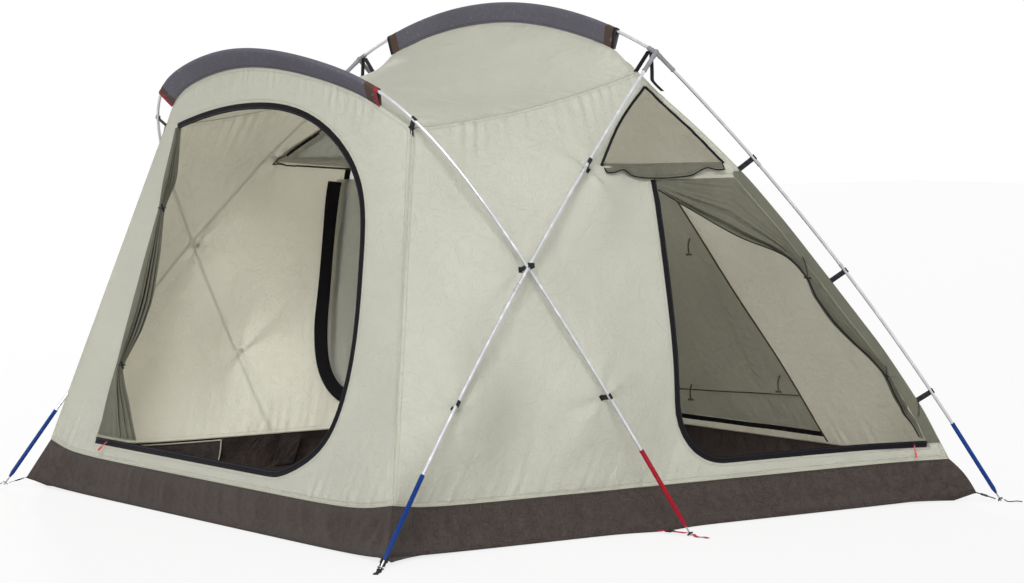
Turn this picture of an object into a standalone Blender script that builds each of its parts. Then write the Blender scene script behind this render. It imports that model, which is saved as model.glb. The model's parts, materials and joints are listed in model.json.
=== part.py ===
"""Family dome tent: three poles on two ridge hubs, clipped over one sewn fabric body.

Metres, +Z up, the front door faces -Y, the origin is on the ground under the tent's middle.
"""
import math

import bmesh
import bpy
import numpy as np
from mathutils import Matrix, Vector
from mathutils.bvhtree import BVHTree

# Pole frame
BASE_WIDTH = 2.70            # between the left and right pole tips
BASE_LENGTH = 2.722          # between the front and rear pole tips
TIP_HEIGHT = 0.008           # a pole's line ends this high, in its strap's ring
POLE_DIAMETER = 0.012
RIDGE_HEIGHT = 1.848         # centre of the ridge pole, at its top
RIDGE_BACK = 1.410           # ridge pole behind the front tips
HUB_SPAN = 1.942             # between the two ridge hubs
HUB_DROP = 0.193             # hubs below the top of the ridge pole
ARCH_HEIGHT = 1.671          # centre of the front arch, at its top
ARCH_TOP_BACK = 0.303        # top of the arch behind the front tips
ARCH_FOOT_BACK = 1.258       # the arch's own feet behind the front tips
CROWN_OUT = 0.450            # the arch is still flat this far from its middle
CROWN_DROP = 0.049           # and there lies this far below its top
SHOULDER_OUT = 0.789         # it turns down this far from its middle
SHOULDER_DROP = 0.166        # and there lies this far below its top
FRONT_LEG_BOW = (0.022, -0.072, 0.0)
REAR_LEG_BOW = (-0.012, 0.105, 0.0)
REAR_LEG_SKEW = 0.3          # the rear legs bow more towards the hub
POLE_STEP = 0.125            # longest straight stretch of a drawn pole
STRAIGHT = 0.014             # a pole is straight this far each side of a clip
CROSS_CLEARANCE = 0.0008     # between the two poles where they cross

# Pole ends and hubs
END_LENGTH = 0.345           # coloured end of a pole
END_DIAMETER = 0.016
END_OVERLAP = 0.040          # pole inside its coloured end
TAPER_FROM = 0.030           # the end narrows to its pin from here
TAPER_TO = 0.046             # to here
PIN_DIAMETER = 0.0064
SOCKET_DIAMETER = 0.0175
LEG_SOCKET_LENGTH = 0.095
RIDGE_SOCKET_LENGTH = 0.045
SOCKET_FLOOR = 0.012         # poles end this far from a hub's centre
HUB_DIAMETER = 0.023
RUN_CLEARANCE = 0.0003       # pole to bore
MOUTH_RUN = 0.006            # a pole is straight this far past a mouth

# Foot straps
STRAP_START = 0.0022         # sewn end of a strap, off the tub's corner
STRAP_WIDTH = 0.020
STRAP_THICKNESS = 0.002
MIDDLE_STRAP_LIFT = 0.003    # middle straps are sewn on this far above the floor seam
RING_DIAMETER = 0.026
RING_THICKNESS = 0.004
RING_CLEARANCE = 0.0004      # pin to ring
RING_BED = 0.0104            # half of the webbing that lies flat in a ring
TAIL_STEP = 0.016            # webbing that comes down from the ring to the ground
TAIL_LENGTH = 0.055          # flat end of a strap on the ground
GROUND_GAP = 0.0004

# Fabric body
CLOTH = 0.002                # drawn thickness of the wall cloth
SEAM_GAP = 0.0003            # between two panels at their seam
TUB_CLOTH = 0.0025
CORNER_IN = 0.062            # tub's lower corner inside the pole tip, each way
CORNER_LIFT = 0.032          # the corner strap lifts the corner
CORNER_TOP_IN = 0.135        # tub's upper corner inside the pole tip, each way
TUB_HEIGHT = 0.150           # upper edge of the tub between the corners
FRONT_CORNER_HEIGHT = 0.185
REAR_CORNER_HEIGHT = 0.158
SEAM_LIFT = 0.005            # floor seam above the ground between the corners
FLOOR_PULL = (0.110, 0.045)  # floor seam runs this much inside its corners: sides, ends
TUB_PULL = (0.095, -0.015)   # the same for the tub's upper edge
STRAP_PULL = 0.035           # the middle strap draws the floor seam out again
STRAP_PULL_REACH = 0.117     # to this far each side
EDGE_TURN = 8                # how square the edges turn at the corners
FLOOR_IN = 0.955             # flat floor, as a share of the floor seam's outline
HUB_TO_ROOF = (-0.120, 0.0, -0.071)  # from a hub to the roof's corner
SHOULDER_SAG = 0.030
ROOF_RISE = 0.018            # the roof's cut lets its middle stand this far up
SIDE_BULGE = 0.075           # and the side walls' this far out
PULL_REACH = 0.240           # a clip draws the cloth round it out over this distance
SLEEVE_HEIGHT = 0.068        # pole centre to the seam that the sleeve is sewn in
SLEEVE_OUT = 0.757           # half width of both sleeves
SLEEVE_CLOTH = 0.0012
SLEEVE_RADIUS = 0.0088       # outside of the sleeve over the pole
SLEEVE_FOOT = 0.0026         # half width of the sleeve at its seam
SLEEVE_SEAT = 0.0009         # sleeve above the seam line
SLEEVE_STATIONS = 15
END_ACROSS = SLEEVE_STATIONS + 2
SIDE_ACROSS = 17
SIDE_UP = 13

# Pole clips: height, reach from cloth to pole, outward direction. A height is measured up from
# the ground, or down from the top of the pole's own frame (hub or arch) where it is negative
REAR_CLIPS = ((0.416, 0.058, (1, 1, 0.8)), (0.866, 0.060, (1, 1, 0.8)), (-0.376, 0.062, (1, 1, 0.8)))
FRONT_CLIPS = ((0.504, 0.045, (0.88, -0.47, 0.10)), (-0.374, 0.055, (0.5, 0.0, 0.87)))
ARCH_CLIPS = ((0.489, 0.050, (1.0, 0.0, -0.05)), (-0.244, 0.045, (0.6, -0.38, 0.69)))
CROSS_REACH = 0.045
ROOT_RADIUS = 0.002          # rolled root of a clip's tape, against the cloth
ROOT_GAP = 0.0006
CLIP_WIDTH = 0.020
CLIP_TAPE = 0.002
CLIP_WALL = 0.003
CLIP_CLEARANCE = 0.0005
CLIP_LIP = 0.004             # the hook's free lip reaches this far past the pole's centre
CROSS_WIDTH = 0.016
CROSS_LIP = 0.010

# Doors, vents and zips, as outlines seen along the wall's own axis
ZIP_WIDTH = 0.024
ZIP_THICKNESS = 0.0026
CUT_GAP = 0.0006             # between a wall's cut edge and what fills it
FRONT_ZIP_STATIONS = 60
SIDE_ZIP_STATIONS = 48
FRONT_DOOR_SILL = 0.213      # foot of the front zip above the ground
FRONT_DOOR_HEAD = 0.197      # top of the front zip below the top of the arch
FRONT_DOOR_LEFT = 0.845      # its lower left corner left of the middle
# Outline from its lower right corner round to its upper left one: distance right of the middle,
# and height as a share of the way from the foot to the top
FRONT_DOOR_OUT = (0.500, 0.760, 0.812, 0.765, 0.690, 0.440, 0.030, -0.615)
FRONT_DOOR_UP = (0.0, 0.1205, 0.2752, 0.5686, 0.7748, 0.9492, 1.0, 0.9389)
SIDE_DOOR_BACK = 1.371       # front edge of the side door behind the front tips
SIDE_DOOR_TOP = 0.440        # its top below the hubs
SIDE_DOOR_SILL = 0.217       # foot of its zip above the ground
SIDE_DOOR_CORNER = 0.230     # radius of its lower front corner
REAR_EDGE_IN = 0.045         # sewn rear edge of the door inside the rear seam
VENT_FRONT = 0.214           # lower front corner of the vent before the hub
VENT_REAR_IN = 0.037         # its lower rear corner before the rear seam
VENT_TOP_BACK = 0.023        # its upper corner behind the hub
VENT_TOP = 0.120             # and below the hub
VENT_SILL = 0.393            # its lower edge below the hub

# Zip sliders and their pulls: where each stands and how far it runs
SLIDER = (0.014, 0.010, 0.006)
FRONT_RUN_IN = 0.045         # the front zip's foot is straight this far inside its corners
SIDE_RUN_START = 0.246       # the side zip is straight from here, before its rear end
SIDE_RUN_END = 0.021         # to here
FRONT_REST = 0.03            # a slider stands at this share of its run, from its nearer end
SIDE_REST = 0.05
PULL_LENGTH = 0.045
PULL_WIDTH = 0.007
PULL_TAPE = 0.0014
PULL_ROOT = 0.0012
PULL_LEAN = 38               # degrees from straight down, along the wall

# Door flaps, tied back. The side door's loose hem runs from its upper front corner to its lower
# rear one, as shares of the door's depth at that height and of its height
SIDE_HEM_BACK = (0.0406, 0.3188, 0.6476, 0.8975, 0.8867, 0.9200, 0.9643, 0.9687, 0.9798)
SIDE_HEM_UP = (0.9589, 0.8808, 0.7725, 0.6693, 0.5441, 0.3978, 0.2695, 0.1353, 0.0230)
SIDE_TIES = (0.47, 0.79)     # share of the hem's length where it is tied
TIE_REACH = 0.10             # a tie flattens the folds over this share of it
TIED_FOLD = 0.35             # folds at a tie, as a share of the free ones
SIDE_FLAP_FOLD = 0.011       # how far a fold stands out from the wall
SIDE_FLAP_FOLDS = 1.6        # folds from the hem to the sewn edge
SIDE_FLAP_EASE = 0.13        # folds die out over this share at the hem's two ends
SIDE_FLAP_GRID = (25, 8)
BUNDLE_GAP = 0.0008          # between the bundle and the edge that it is sewn to
BUNDLE_STATIONS = 25
BUNDLE_SIDES = 14
BUNDLE_FOLDS = 5
BUNDLE_FOLD = 0.20           # depth of a fold, as a share of the bundle's radius
BUNDLE_FLAT = 0.75           # the bundle's depth, as a share of its width
BUNDLE_RADII = (0.012, 0.024, 0.030, 0.013, 0.030, 0.038, 0.034, 0.015, 0.040, 0.052)
VENT_FLAP_ACROSS = 17
VENT_FLAP_IN = 0.012         # the vent's flap starts this far inside its corners
VENT_FLAP_CLOTH = 0.0016
VENT_HANG = 0.048            # the loose vent flap hangs this far below its sill
# Its cloth on the way over the sill: distance out from the wall, and up from the sill's edge
VENT_ROLL_OUT = (0.0, 0.0031, 0.0067, 0.0086, 0.0088)
VENT_ROLL_UP = (0.0013, 0.0040, 0.0036, 0.0, -0.006)
# and below it: distance out from the wall, and share of the hanging length
VENT_FALL_OUT = (0.0090, 0.0110, 0.0130)
VENT_FALL_DOWN = (0.35, 0.70, 1.0)
VENT_CURL_AT = 0.14          # its ends curl up at this share from each corner
VENT_CURL_REACH = 0.07
VENT_CURL_OUT = 0.008
VENT_CURL_LIFT = 0.55        # share of the hanging length that a curl takes up
VENT_SIDE_HANG = 0.45        # how far the flap hangs at its ends, as a share of the middle

# Hub straps
HUB_STRAP_LOW = 0.0045       # sewn end of the strap above the roof's corner
HUB_STRAP_OUT = 0.003        # and outside it
HUB_STRAP_REACH = 0.0405     # the strap meets the ridge socket this far from the hub's centre
HUB_TAIL = 0.110
HUB_TAIL_IN = 0.027          # the tail hangs this far inside the hub's centre


def vec(*values):
    return np.array(values, float)


def unit(v):
    return np.asarray(v, float) / np.linalg.norm(v)


def from_front(distance):
    """World y of a place that lies this far behind the front pole tips."""
    return distance - BASE_LENGTH / 2


def smooth_line(knots, count=400):
    """Natural cubic spline through the knots, evenly sampled."""
    knots = np.asarray(knots, float)
    t = np.append(0.0, np.cumsum(np.linalg.norm(np.diff(knots, axis=0), axis=1)))
    h = np.diff(t)
    n = len(knots)
    system = np.eye(n)
    rhs = np.zeros((n, 3))
    for i in range(1, n - 1):
        system[i, i - 1:i + 2] = h[i - 1], 2 * (h[i - 1] + h[i]), h[i]
        rhs[i] = 6 * ((knots[i + 1] - knots[i]) / h[i] - (knots[i] - knots[i - 1]) / h[i - 1])
    bend = np.linalg.solve(system, rhs)
    points = []
    for s in np.linspace(0, t[-1], count):
        i = min(max(int(np.searchsorted(t, s, side="right")) - 1, 0), n - 2)
        a, b = t[i + 1] - s, s - t[i]
        points.append((bend[i] * a ** 3 + bend[i + 1] * b ** 3) / (6 * h[i])
                      + (knots[i] / h[i] - bend[i] * h[i] / 6) * a
                      + (knots[i + 1] / h[i] - bend[i + 1] * h[i] / 6) * b)
    return np.array(points)


def bowed_line(start, end, bow, skew=0.0, count=400):
    """Straight line that bows sideways by `bow` at its middle, and more towards its end."""
    t = np.linspace(0, 1, count)[:, None]
    return start + (end - start) * t + 4 * t * (1 - t) * (1 + skew * (t - 0.5)) * np.asarray(bow)


class Route:
    """A pole's centre line, read by the length along it."""

    def __init__(self, points):
        self.points = np.asarray(points, float)
        self.lengths = np.append(0.0, np.cumsum(np.linalg.norm(np.diff(self.points, axis=0), axis=1)))
        self.length = self.lengths[-1]

    def at(self, s):
        return vec(*(np.interp(s, self.lengths, self.points[:, k]) for k in range(3)))

    def direction(self, s):
        return unit(self.at(s + STRAIGHT) - self.at(s - STRAIGHT))

    def nearest(self, point):
        """Length along the route at which it comes nearest to this point."""
        return self.lengths[int(np.argmin(np.linalg.norm(self.points - point, axis=1)))]

    def at_height(self, height):
        """Length along the route at this height; a negative one is measured down from its top."""
        z = height if height > 0 else self.points[-1, 2] + height
        above = int(np.argmax(self.points[:, 2] >= z))
        low, high = self.points[above - 1, 2], self.points[above, 2]
        share = (z - low) / (high - low)
        return self.lengths[above - 1] + share * (self.lengths[above] - self.lengths[above - 1])


# Frame points of the right side; the left side mirrors them
FRONT_TIP = vec(BASE_WIDTH / 2, from_front(0), TIP_HEIGHT)
REAR_TIP = vec(BASE_WIDTH / 2, from_front(BASE_LENGTH), TIP_HEIGHT)
ARCH_TIP = vec(BASE_WIDTH / 2, from_front(ARCH_FOOT_BACK), TIP_HEIGHT)
HUB = vec(HUB_SPAN / 2, from_front(RIDGE_BACK), RIDGE_HEIGHT - HUB_DROP)
ARCH_LEAN = (ARCH_FOOT_BACK - ARCH_TOP_BACK) / (ARCH_HEIGHT - TIP_HEIGHT)


def on_arch_plane(x, z):
    return vec(x, ARCH_TIP[1] - ARCH_LEAN * (z - TIP_HEIGHT), z)


def arch_knots(crossing):
    half = [on_arch_plane(CROWN_OUT, ARCH_HEIGHT - CROWN_DROP),
            on_arch_plane(SHOULDER_OUT, ARCH_HEIGHT - SHOULDER_DROP), crossing, ARCH_TIP]
    left = [p * vec(-1, 1, 1) for p in reversed(half)]
    return left + [on_arch_plane(0, ARCH_HEIGHT)] + half


def crossing_points(leg):
    """Length at which the leg meets the arch's plane, the arch's point inside it, and the way out."""
    off = leg.points[:, 1] + ARCH_LEAN * leg.points[:, 2] - (ARCH_TIP[1] + ARCH_LEAN * TIP_HEIGHT)
    i = int(np.argmax(np.sign(off) != np.sign(off[0])))
    share = off[i - 1] / (off[i - 1] - off[i])
    s = leg.lengths[i - 1] + share * (leg.lengths[i] - leg.lengths[i - 1])
    outer = leg.at(s)
    arch = Route(smooth_line(arch_knots(outer)))
    near = int(np.argmin(np.linalg.norm(arch.points - outer, axis=1)))
    along = unit(arch.points[near + 2] - arch.points[near - 2])
    out = unit(np.cross(leg.direction(s), along))
    if out[0] < 0:
        out = -out
    in_plane = unit(np.cross(along, unit(vec(0, 1, ARCH_LEAN))))
    if in_plane[0] < 0:
        in_plane = -in_plane
    shift = (POLE_DIAMETER + CROSS_CLEARANCE) / float(in_plane @ out)
    return s, outer - in_plane * shift, out


FRONT_LEG = Route(bowed_line(FRONT_TIP, HUB, FRONT_LEG_BOW))
REAR_LEG = Route(bowed_line(REAR_TIP, HUB, REAR_LEG_BOW, REAR_LEG_SKEW))
CROSS_AT, CROSS_ARCH, CROSS_OUT = crossing_points(FRONT_LEG)
ARCH = Route(smooth_line(arch_knots(CROSS_ARCH), 901))
RIGHT_ARCH = Route(ARCH.points[len(ARCH.points) // 2:][::-1])   # from its right tip to its top


def clip_place(route, height, reach, out):
    """Pole point, pole direction, outward direction and the cloth under a clip's root."""
    s = route.at_height(height)
    along = route.direction(s)
    out = unit(vec(*out) - float(vec(*out) @ along) * along)
    return route.at(s), along, out, route.at(s) - out * (reach + ROOT_RADIUS + ROOT_GAP + CLOTH / 2)


REAR_PLACES = [clip_place(REAR_LEG, *clip) for clip in REAR_CLIPS]
FRONT_PLACES = [clip_place(FRONT_LEG, *clip) for clip in FRONT_CLIPS]
ARCH_PLACES = [clip_place(RIGHT_ARCH, *clip) for clip in ARCH_CLIPS]
CROSS_CLOTH = CROSS_ARCH - CROSS_OUT * (CROSS_REACH + ROOT_RADIUS + ROOT_GAP + CLOTH / 2)
ROOF_FRONT = ARCH_PLACES[1][3]
ROOF_REAR = HUB + vec(*HUB_TO_ROOF)


def resample(points, count):
    route = Route(points)
    return np.array([route.at(s) for s in np.linspace(0, route.length, count)])


def mirrored(points):
    return np.asarray(points) * vec(-1, 1, 1)


def tub_corner(front, inset, height):
    tip = FRONT_TIP if front else REAR_TIP
    back = inset if front else -inset
    return vec(tip[0] - inset, tip[1] + back, height)


def edge_line(start, end, pull, height, count, strap_at=None):
    """One side of a tub edge: straight between its corners, drawn in by `pull`."""
    t = np.linspace(0, 1, count)
    inside = 1 - np.abs(2 * t - 1) ** EDGE_TURN
    line = start + (end - start) * t[:, None]
    amount = inside.copy()
    if strap_at is not None:
        away = (t - strap_at) * np.linalg.norm(end - start) / STRAP_PULL_REACH
        amount -= STRAP_PULL / np.linalg.norm(pull) * np.exp(-away ** 2)
    line += amount[:, None] * np.asarray(pull)
    line[:, 2] = line[:, 2] * (1 - inside) + height * inside
    return line


def tub_edges(count=41):
    """Lower and upper edge of the tub: front, right and rear side of each."""
    low_f = tub_corner(True, CORNER_IN, CORNER_LIFT)
    low_r = tub_corner(False, CORNER_IN, CORNER_LIFT)
    top_f = tub_corner(True, CORNER_TOP_IN, FRONT_CORNER_HEIGHT)
    top_r = tub_corner(False, CORNER_TOP_IN, REAR_CORNER_HEIGHT)
    strap_at = (ARCH_TIP[1] - low_f[1]) / (low_r[1] - low_f[1])
    lower = {
        "right": edge_line(low_f, low_r, (-FLOOR_PULL[0], 0, 0), SEAM_LIFT, count, strap_at),
        "front": edge_line(mirrored(low_f), low_f, (0, FLOOR_PULL[1], 0), SEAM_LIFT, count),
        "rear": edge_line(mirrored(low_r), low_r, (0, -FLOOR_PULL[1], 0), SEAM_LIFT, count)}
    upper = {
        "right": edge_line(top_f, top_r, (-TUB_PULL[0], 0, 0), TUB_HEIGHT, count),
        "front": edge_line(mirrored(top_f), top_f, (0, TUB_PULL[1], 0), TUB_HEIGHT, count),
        "rear": edge_line(mirrored(top_r), top_r, (0, -TUB_PULL[1], 0), TUB_HEIGHT, count)}
    return lower, upper


LOWER_EDGE, UPPER_EDGE = tub_edges()


def hanging_seam(points, plane_normal, depth):
    """Line that hangs `depth` below a pole, square to it in the pole's own plane."""
    points = np.asarray(points)
    along = np.gradient(points, axis=0)
    down = np.cross(along, unit(plane_normal))
    down /= np.linalg.norm(down, axis=1)[:, None]
    down *= np.where(down[:, 2:3] > 0, -1, 1)
    return points + down * depth


def stretch(left, right, bottom, top, bulge=(0, 0, 0), pulls=(), rounds=900):
    """Cloth stretched over four edges: each inner point is the mean of its neighbours.

    Rows run from the bottom edge to the top, columns from left to right. `bulge` is how far
    its cut lets the middle stand out. `pulls` are points that the nearest cloth point is
    clipped to, with the cloth round it.
    """
    nv, nu = len(left), len(bottom)
    u = np.linspace(0, 1, nu)[None, :, None]
    v = np.linspace(0, 1, nv)[:, None, None]
    cloth = ((1 - u) * left[:, None] + u * right[:, None] + (1 - v) * bottom[None] + v * top[None]
             - (1 - u) * (1 - v) * bottom[0] - u * (1 - v) * bottom[-1]
             - (1 - u) * v * top[0] - u * v * top[-1])
    for _ in range(rounds):
        cloth[1:-1, 1:-1] = (cloth[:-2, 1:-1] + cloth[2:, 1:-1] + cloth[1:-1, :-2] + cloth[1:-1, 2:]) / 4
    rise = 16 * u * (1 - u) * v * (1 - v)
    cloth += rise * np.asarray(bulge)
    if not pulls:
        return cloth
    # The humps that the clips draw are solved together, so that the cloth meets every clip
    held, humps = [], []
    fade = np.sqrt(rise[..., 0])
    for target in pulls:
        distance = np.linalg.norm(cloth[1:-1, 1:-1] - target, axis=2)
        j, i = np.unravel_index(int(np.argmin(distance)), distance.shape)
        held.append((j + 1, i + 1))
        away = np.linalg.norm(cloth - cloth[held[-1]], axis=2)
        humps.append(np.exp(-(away / PULL_REACH) ** 2) * fade / fade[held[-1]])
    meets = np.array([[hump[place] for hump in humps] for place in held])
    moves = np.linalg.solve(meets, [target - cloth[place] for target, place in zip(pulls, held)])
    for hump, move in zip(humps, moves):
        cloth += hump[..., None] * move
    return cloth


def sleeve_lengths(route):
    """Lengths along a pole at which its sleeve is drawn, from left to right."""
    upper = np.nonzero((np.abs(route.points[:, 0]) <= SLEEVE_OUT) & (route.points[:, 2] > HUB[2] / 2))[0]
    return np.linspace(route.lengths[upper[0]], route.lengths[upper[-1]], SLEEVE_STATIONS)


def ridge_points(count=201):
    x = np.linspace(-HUB[0], HUB[0], count)
    z = RIDGE_HEIGHT - HUB_DROP * (x / HUB[0]) ** 2
    return np.column_stack([x, np.full(count, HUB[1]), z])


RIDGE = Route(ridge_points())
ARCH_SLEEVE = np.array([ARCH.at(s) for s in sleeve_lengths(ARCH)])
RIDGE_SLEEVE = np.array([RIDGE.at(s) for s in sleeve_lengths(RIDGE)])
ARCH_NORMAL = unit(vec(0, 1, ARCH_LEAN))
RIDGE_NORMAL = vec(0, 1, 0)
ARCH_SEAM = np.vstack([mirrored(ROOF_FRONT), hanging_seam(ARCH_SLEEVE, ARCH_NORMAL, SLEEVE_HEIGHT), ROOF_FRONT])
RIDGE_SEAM = np.vstack([mirrored(ROOF_REAR), hanging_seam(RIDGE_SLEEVE, RIDGE_NORMAL, SLEEVE_HEIGHT), ROOF_REAR])


def through(points, keys, count):
    """Evenly spaced points of a line, with the nearest ones moved onto the key points."""
    route = Route(points)
    lengths = np.linspace(0, route.length, count)
    for key in keys:
        at = route.nearest(key)
        lengths[int(np.argmin(np.abs(lengths - at)))] = at
    return np.array([route.at(s) for s in lengths])


def side_cloth():
    clips = [place[3] for place in REAR_PLACES]
    rear_seam = smooth_line([UPPER_EDGE["right"][-1]] + clips + [ROOF_REAR], 2000)
    shoulder = bowed_line(ROOF_FRONT, ROOF_REAR, (0, 0, -SHOULDER_SAG))
    corner_seam = np.linspace(UPPER_EDGE["right"][0], ROOF_FRONT, 50)
    pulls = [FRONT_PLACES[0][3], CROSS_CLOTH, FRONT_PLACES[1][3], ARCH_PLACES[0][3]]
    return stretch(resample(corner_seam, SIDE_UP), through(rear_seam, clips, SIDE_UP),
                   resample(UPPER_EDGE["right"], SIDE_ACROSS), resample(shoulder, SIDE_ACROSS),
                   (SIDE_BULGE, 0, 0), pulls)


SIDE = side_cloth()
FRONT = stretch(mirrored(SIDE[:, 0]), SIDE[:, 0], resample(UPPER_EDGE["front"], END_ACROSS), ARCH_SEAM)
REAR = stretch(mirrored(SIDE[:, -1]), SIDE[:, -1], resample(UPPER_EDGE["rear"], END_ACROSS), RIDGE_SEAM)
ROOF = stretch(mirrored(SIDE[-1]), SIDE[-1], ARCH_SEAM, RIDGE_SEAM, (0, 0, ROOF_RISE))


# Seams: every panel ends just short of its seam line, so that neighbours never touch

def seam_shift(points, own, other, half):
    """Move of a seam's points into the panel `own`, clear of the panel on its other side."""
    along = np.gradient(points, axis=0)
    along /= np.linalg.norm(along, axis=1)[:, None]
    inward = []
    for inner in (own, other):
        way = inner - points
        way -= np.sum(way * along, axis=1)[:, None] * along
        inward.append(way / np.linalg.norm(way, axis=1)[:, None])
    half_angle = np.arccos(np.clip(np.sum(inward[0] * inward[1], axis=1), -1, 1)) / 2
    distance = (SEAM_GAP / 2 + half * np.cos(half_angle)) / np.sin(half_angle)
    return inward[0] * distance[:, None]


def panel_points(grid, left, right, bottom, top):
    """A panel's grid with its four edges drawn in from their seams."""
    points = grid.copy()
    points[:, 0] += seam_shift(grid[:, 0], grid[:, 1], left, CLOTH / 2)
    points[:, -1] += seam_shift(grid[:, -1], grid[:, -2], right, CLOTH / 2)
    points[0] += seam_shift(grid[0], grid[1], bottom, TUB_CLOTH)
    points[-1] += seam_shift(grid[-1], grid[-2], top, CLOTH / 2)
    return points


def roof_points():
    points = ROOF.copy()
    points[:, 0] += seam_shift(ROOF[:, 0], ROOF[:, 1], mirrored(SIDE[-2]), CLOTH / 2)
    points[:, -1] += seam_shift(ROOF[:, -1], ROOF[:, -2], SIDE[-2], CLOTH / 2)
    points[0] += seam_shift(ROOF[0], ROOF[1], FRONT[-2], CLOTH / 2)
    points[-1] += seam_shift(ROOF[-1], ROOF[-2], REAR[-2], CLOTH / 2)
    return points


LOWER = {key: resample(LOWER_EDGE[key], SIDE_ACROSS if key == "right" else END_ACROSS) for key in LOWER_EDGE}
SIDE_PANEL = panel_points(SIDE, FRONT[:, -2], REAR[:, -2], LOWER["right"], ROOF[:, -2])
FRONT_PANEL = panel_points(FRONT, mirrored(SIDE[:, 1]), SIDE[:, 1], LOWER["front"], ROOF[1])
REAR_PANEL = panel_points(REAR, mirrored(SIDE[:, -2]), SIDE[:, -2], LOWER["rear"], ROOF[-2])
ROOF_PANEL = roof_points()


# Scene and small tools

for start_item in list(bpy.data.objects):
    bpy.data.objects.remove(start_item, do_unlink=True)
PARTS = bpy.data.collections.new("family_dome_tent")
CUTTERS = bpy.data.collections.new("cutters")
bpy.context.scene.collection.children.link(PARTS)
bpy.context.scene.collection.children.link(CUTTERS)

# Colour, roughness and metallic value of each kind of piece
LOOKS = {
    "wall": ((0.60, 0.61, 0.49), 0.85, 0.0),
    "tub": ((0.068, 0.052, 0.049), 0.55, 0.0),
    "sleeve": ((0.11, 0.10, 0.13), 0.90, 0.0),
    "flap": ((0.20, 0.20, 0.16), 0.85, 0.0),
    "mesh": ((0.40, 0.39, 0.33), 0.90, 0.0),
    "black": ((0.014, 0.013, 0.015), 0.60, 0.0),
    "pull": ((0.80, 0.05, 0.05), 0.60, 0.0),
    "metal": ((0.66, 0.66, 0.68), 0.28, 1.0),
    "hub": ((0.32, 0.32, 0.34), 0.40, 1.0),
    "blue": ((0.006, 0.045, 0.26), 0.35, 0.0),
    "red": ((0.39, 0.007, 0.028), 0.35, 0.0),
}


def add(name, data, look):
    color, roughness, metallic = LOOKS[look]
    finish = bpy.data.materials.new(name + "_finish")
    finish.use_nodes = True
    shader = finish.node_tree.nodes["Principled BSDF"]
    shader.inputs["Base Color"].default_value = (*color, 1)
    shader.inputs["Roughness"].default_value = roughness
    shader.inputs["Metallic"].default_value = metallic
    data.materials.append(finish)
    item = bpy.data.objects.new(name, data)
    PARTS.objects.link(item)
    return item


def helper(name, data):
    """An object that only cuts or is joined to a part."""
    item = bpy.data.objects.new(name, data)
    item.hide_render = True
    item.display_type = "WIRE"
    CUTTERS.objects.link(item)
    return item


def boolean(item, other, operation):
    step = item.modifiers.new(operation.lower() + "_" + other.name, "BOOLEAN")
    step.operation = operation
    step.object = other


def grid_bmesh(points):
    rows, columns = points.shape[:2]
    work = bmesh.new()
    bmesh.ops.create_grid(work, x_segments=columns - 1, y_segments=rows - 1, size=1)
    for vert in work.verts:
        i = round((vert.co.x + 1) / 2 * (columns - 1))
        j = round((vert.co.y + 1) / 2 * (rows - 1))
        vert.co = points[j, i]
    bmesh.ops.triangulate(work, faces=work.faces[:])
    return work


def to_mesh(work, name, smooth=True):
    mesh = bpy.data.meshes.new(name)
    work.to_mesh(mesh)
    work.free()
    if smooth:
        mesh.shade_smooth()
        mesh.set_sharp_from_angle(angle=math.radians(40))
    return mesh


def cloth_object(name, points, look, thickness=CLOTH):
    """A sheet of cloth with its thickness half to each side of the points."""
    item = add(name, to_mesh(grid_bmesh(points), name), look)
    solid = item.modifiers.new("thickness", "SOLIDIFY")
    solid.thickness = thickness
    solid.offset = 0
    return item


def plate_mesh(name, points, axis, thickness):
    """A sheet whose thickness runs along one world axis, so its rims do too."""
    axis = Vector(axis)
    work = grid_bmesh(points - np.asarray(axis) * thickness / 2)
    raised = bmesh.ops.extrude_face_region(work, geom=work.faces[:])
    verts = [part for part in raised["geom"] if isinstance(part, bmesh.types.BMVert)]
    bmesh.ops.translate(work, verts=verts, vec=axis * thickness)
    bmesh.ops.recalc_face_normals(work, faces=work.faces[:])
    return to_mesh(work, name)


def flat_mesh(name, outline, thickness):
    """A flat outline, filled and given a thickness, as a welded mesh in the XY plane."""
    curve = bpy.data.curves.new(name, "CURVE")
    curve.dimensions = "2D"
    curve.fill_mode = "BOTH"
    curve.extrude = thickness / 2
    line = curve.splines.new("POLY")
    line.points.add(len(outline) - 1)
    for point, (x, y) in zip(line.points, outline):
        point.co = (x, y, 0, 1)
    line.use_cyclic_u = True
    item = bpy.data.objects.new(name + "_outline", curve)
    CUTTERS.objects.link(item)
    mesh = bpy.data.meshes.new_from_object(item.evaluated_get(bpy.context.evaluated_depsgraph_get()))
    bpy.data.objects.remove(item, do_unlink=True)
    work = bmesh.new()
    work.from_mesh(mesh)
    bpy.data.meshes.remove(mesh)
    bmesh.ops.remove_doubles(work, verts=work.verts[:], dist=0.00001)
    bmesh.ops.recalc_face_normals(work, faces=work.faces[:])
    return to_mesh(work, name, smooth=False)


def placed(x_axis, y_axis, z_axis, origin):
    frame = Matrix((x_axis, y_axis, z_axis)).transposed().to_4x4()
    frame.translation = origin
    return frame


ALONG_X = placed((0, 1, 0), (0, 0, 1), (1, 0, 0), (0, 0, 0))
ALONG_Y = placed((1, 0, 0), (0, 0, 1), (0, -1, 0), (0, 0, 0))


def side_cutter(name, outline, side):
    """A prism through a side wall, from the tent's middle out to its pole tips."""
    item = helper(name, flat_mesh(name, outline, BASE_WIDTH / 2))
    item.matrix_world = Matrix.Translation((side * BASE_WIDTH / 4, 0, 0)) @ ALONG_X
    return item


def front_cutter(name, outline):
    item = helper(name, flat_mesh(name, outline, BASE_LENGTH / 2))
    item.matrix_world = Matrix.Translation((0, -BASE_LENGTH / 4, 0)) @ ALONG_Y
    return item


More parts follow.
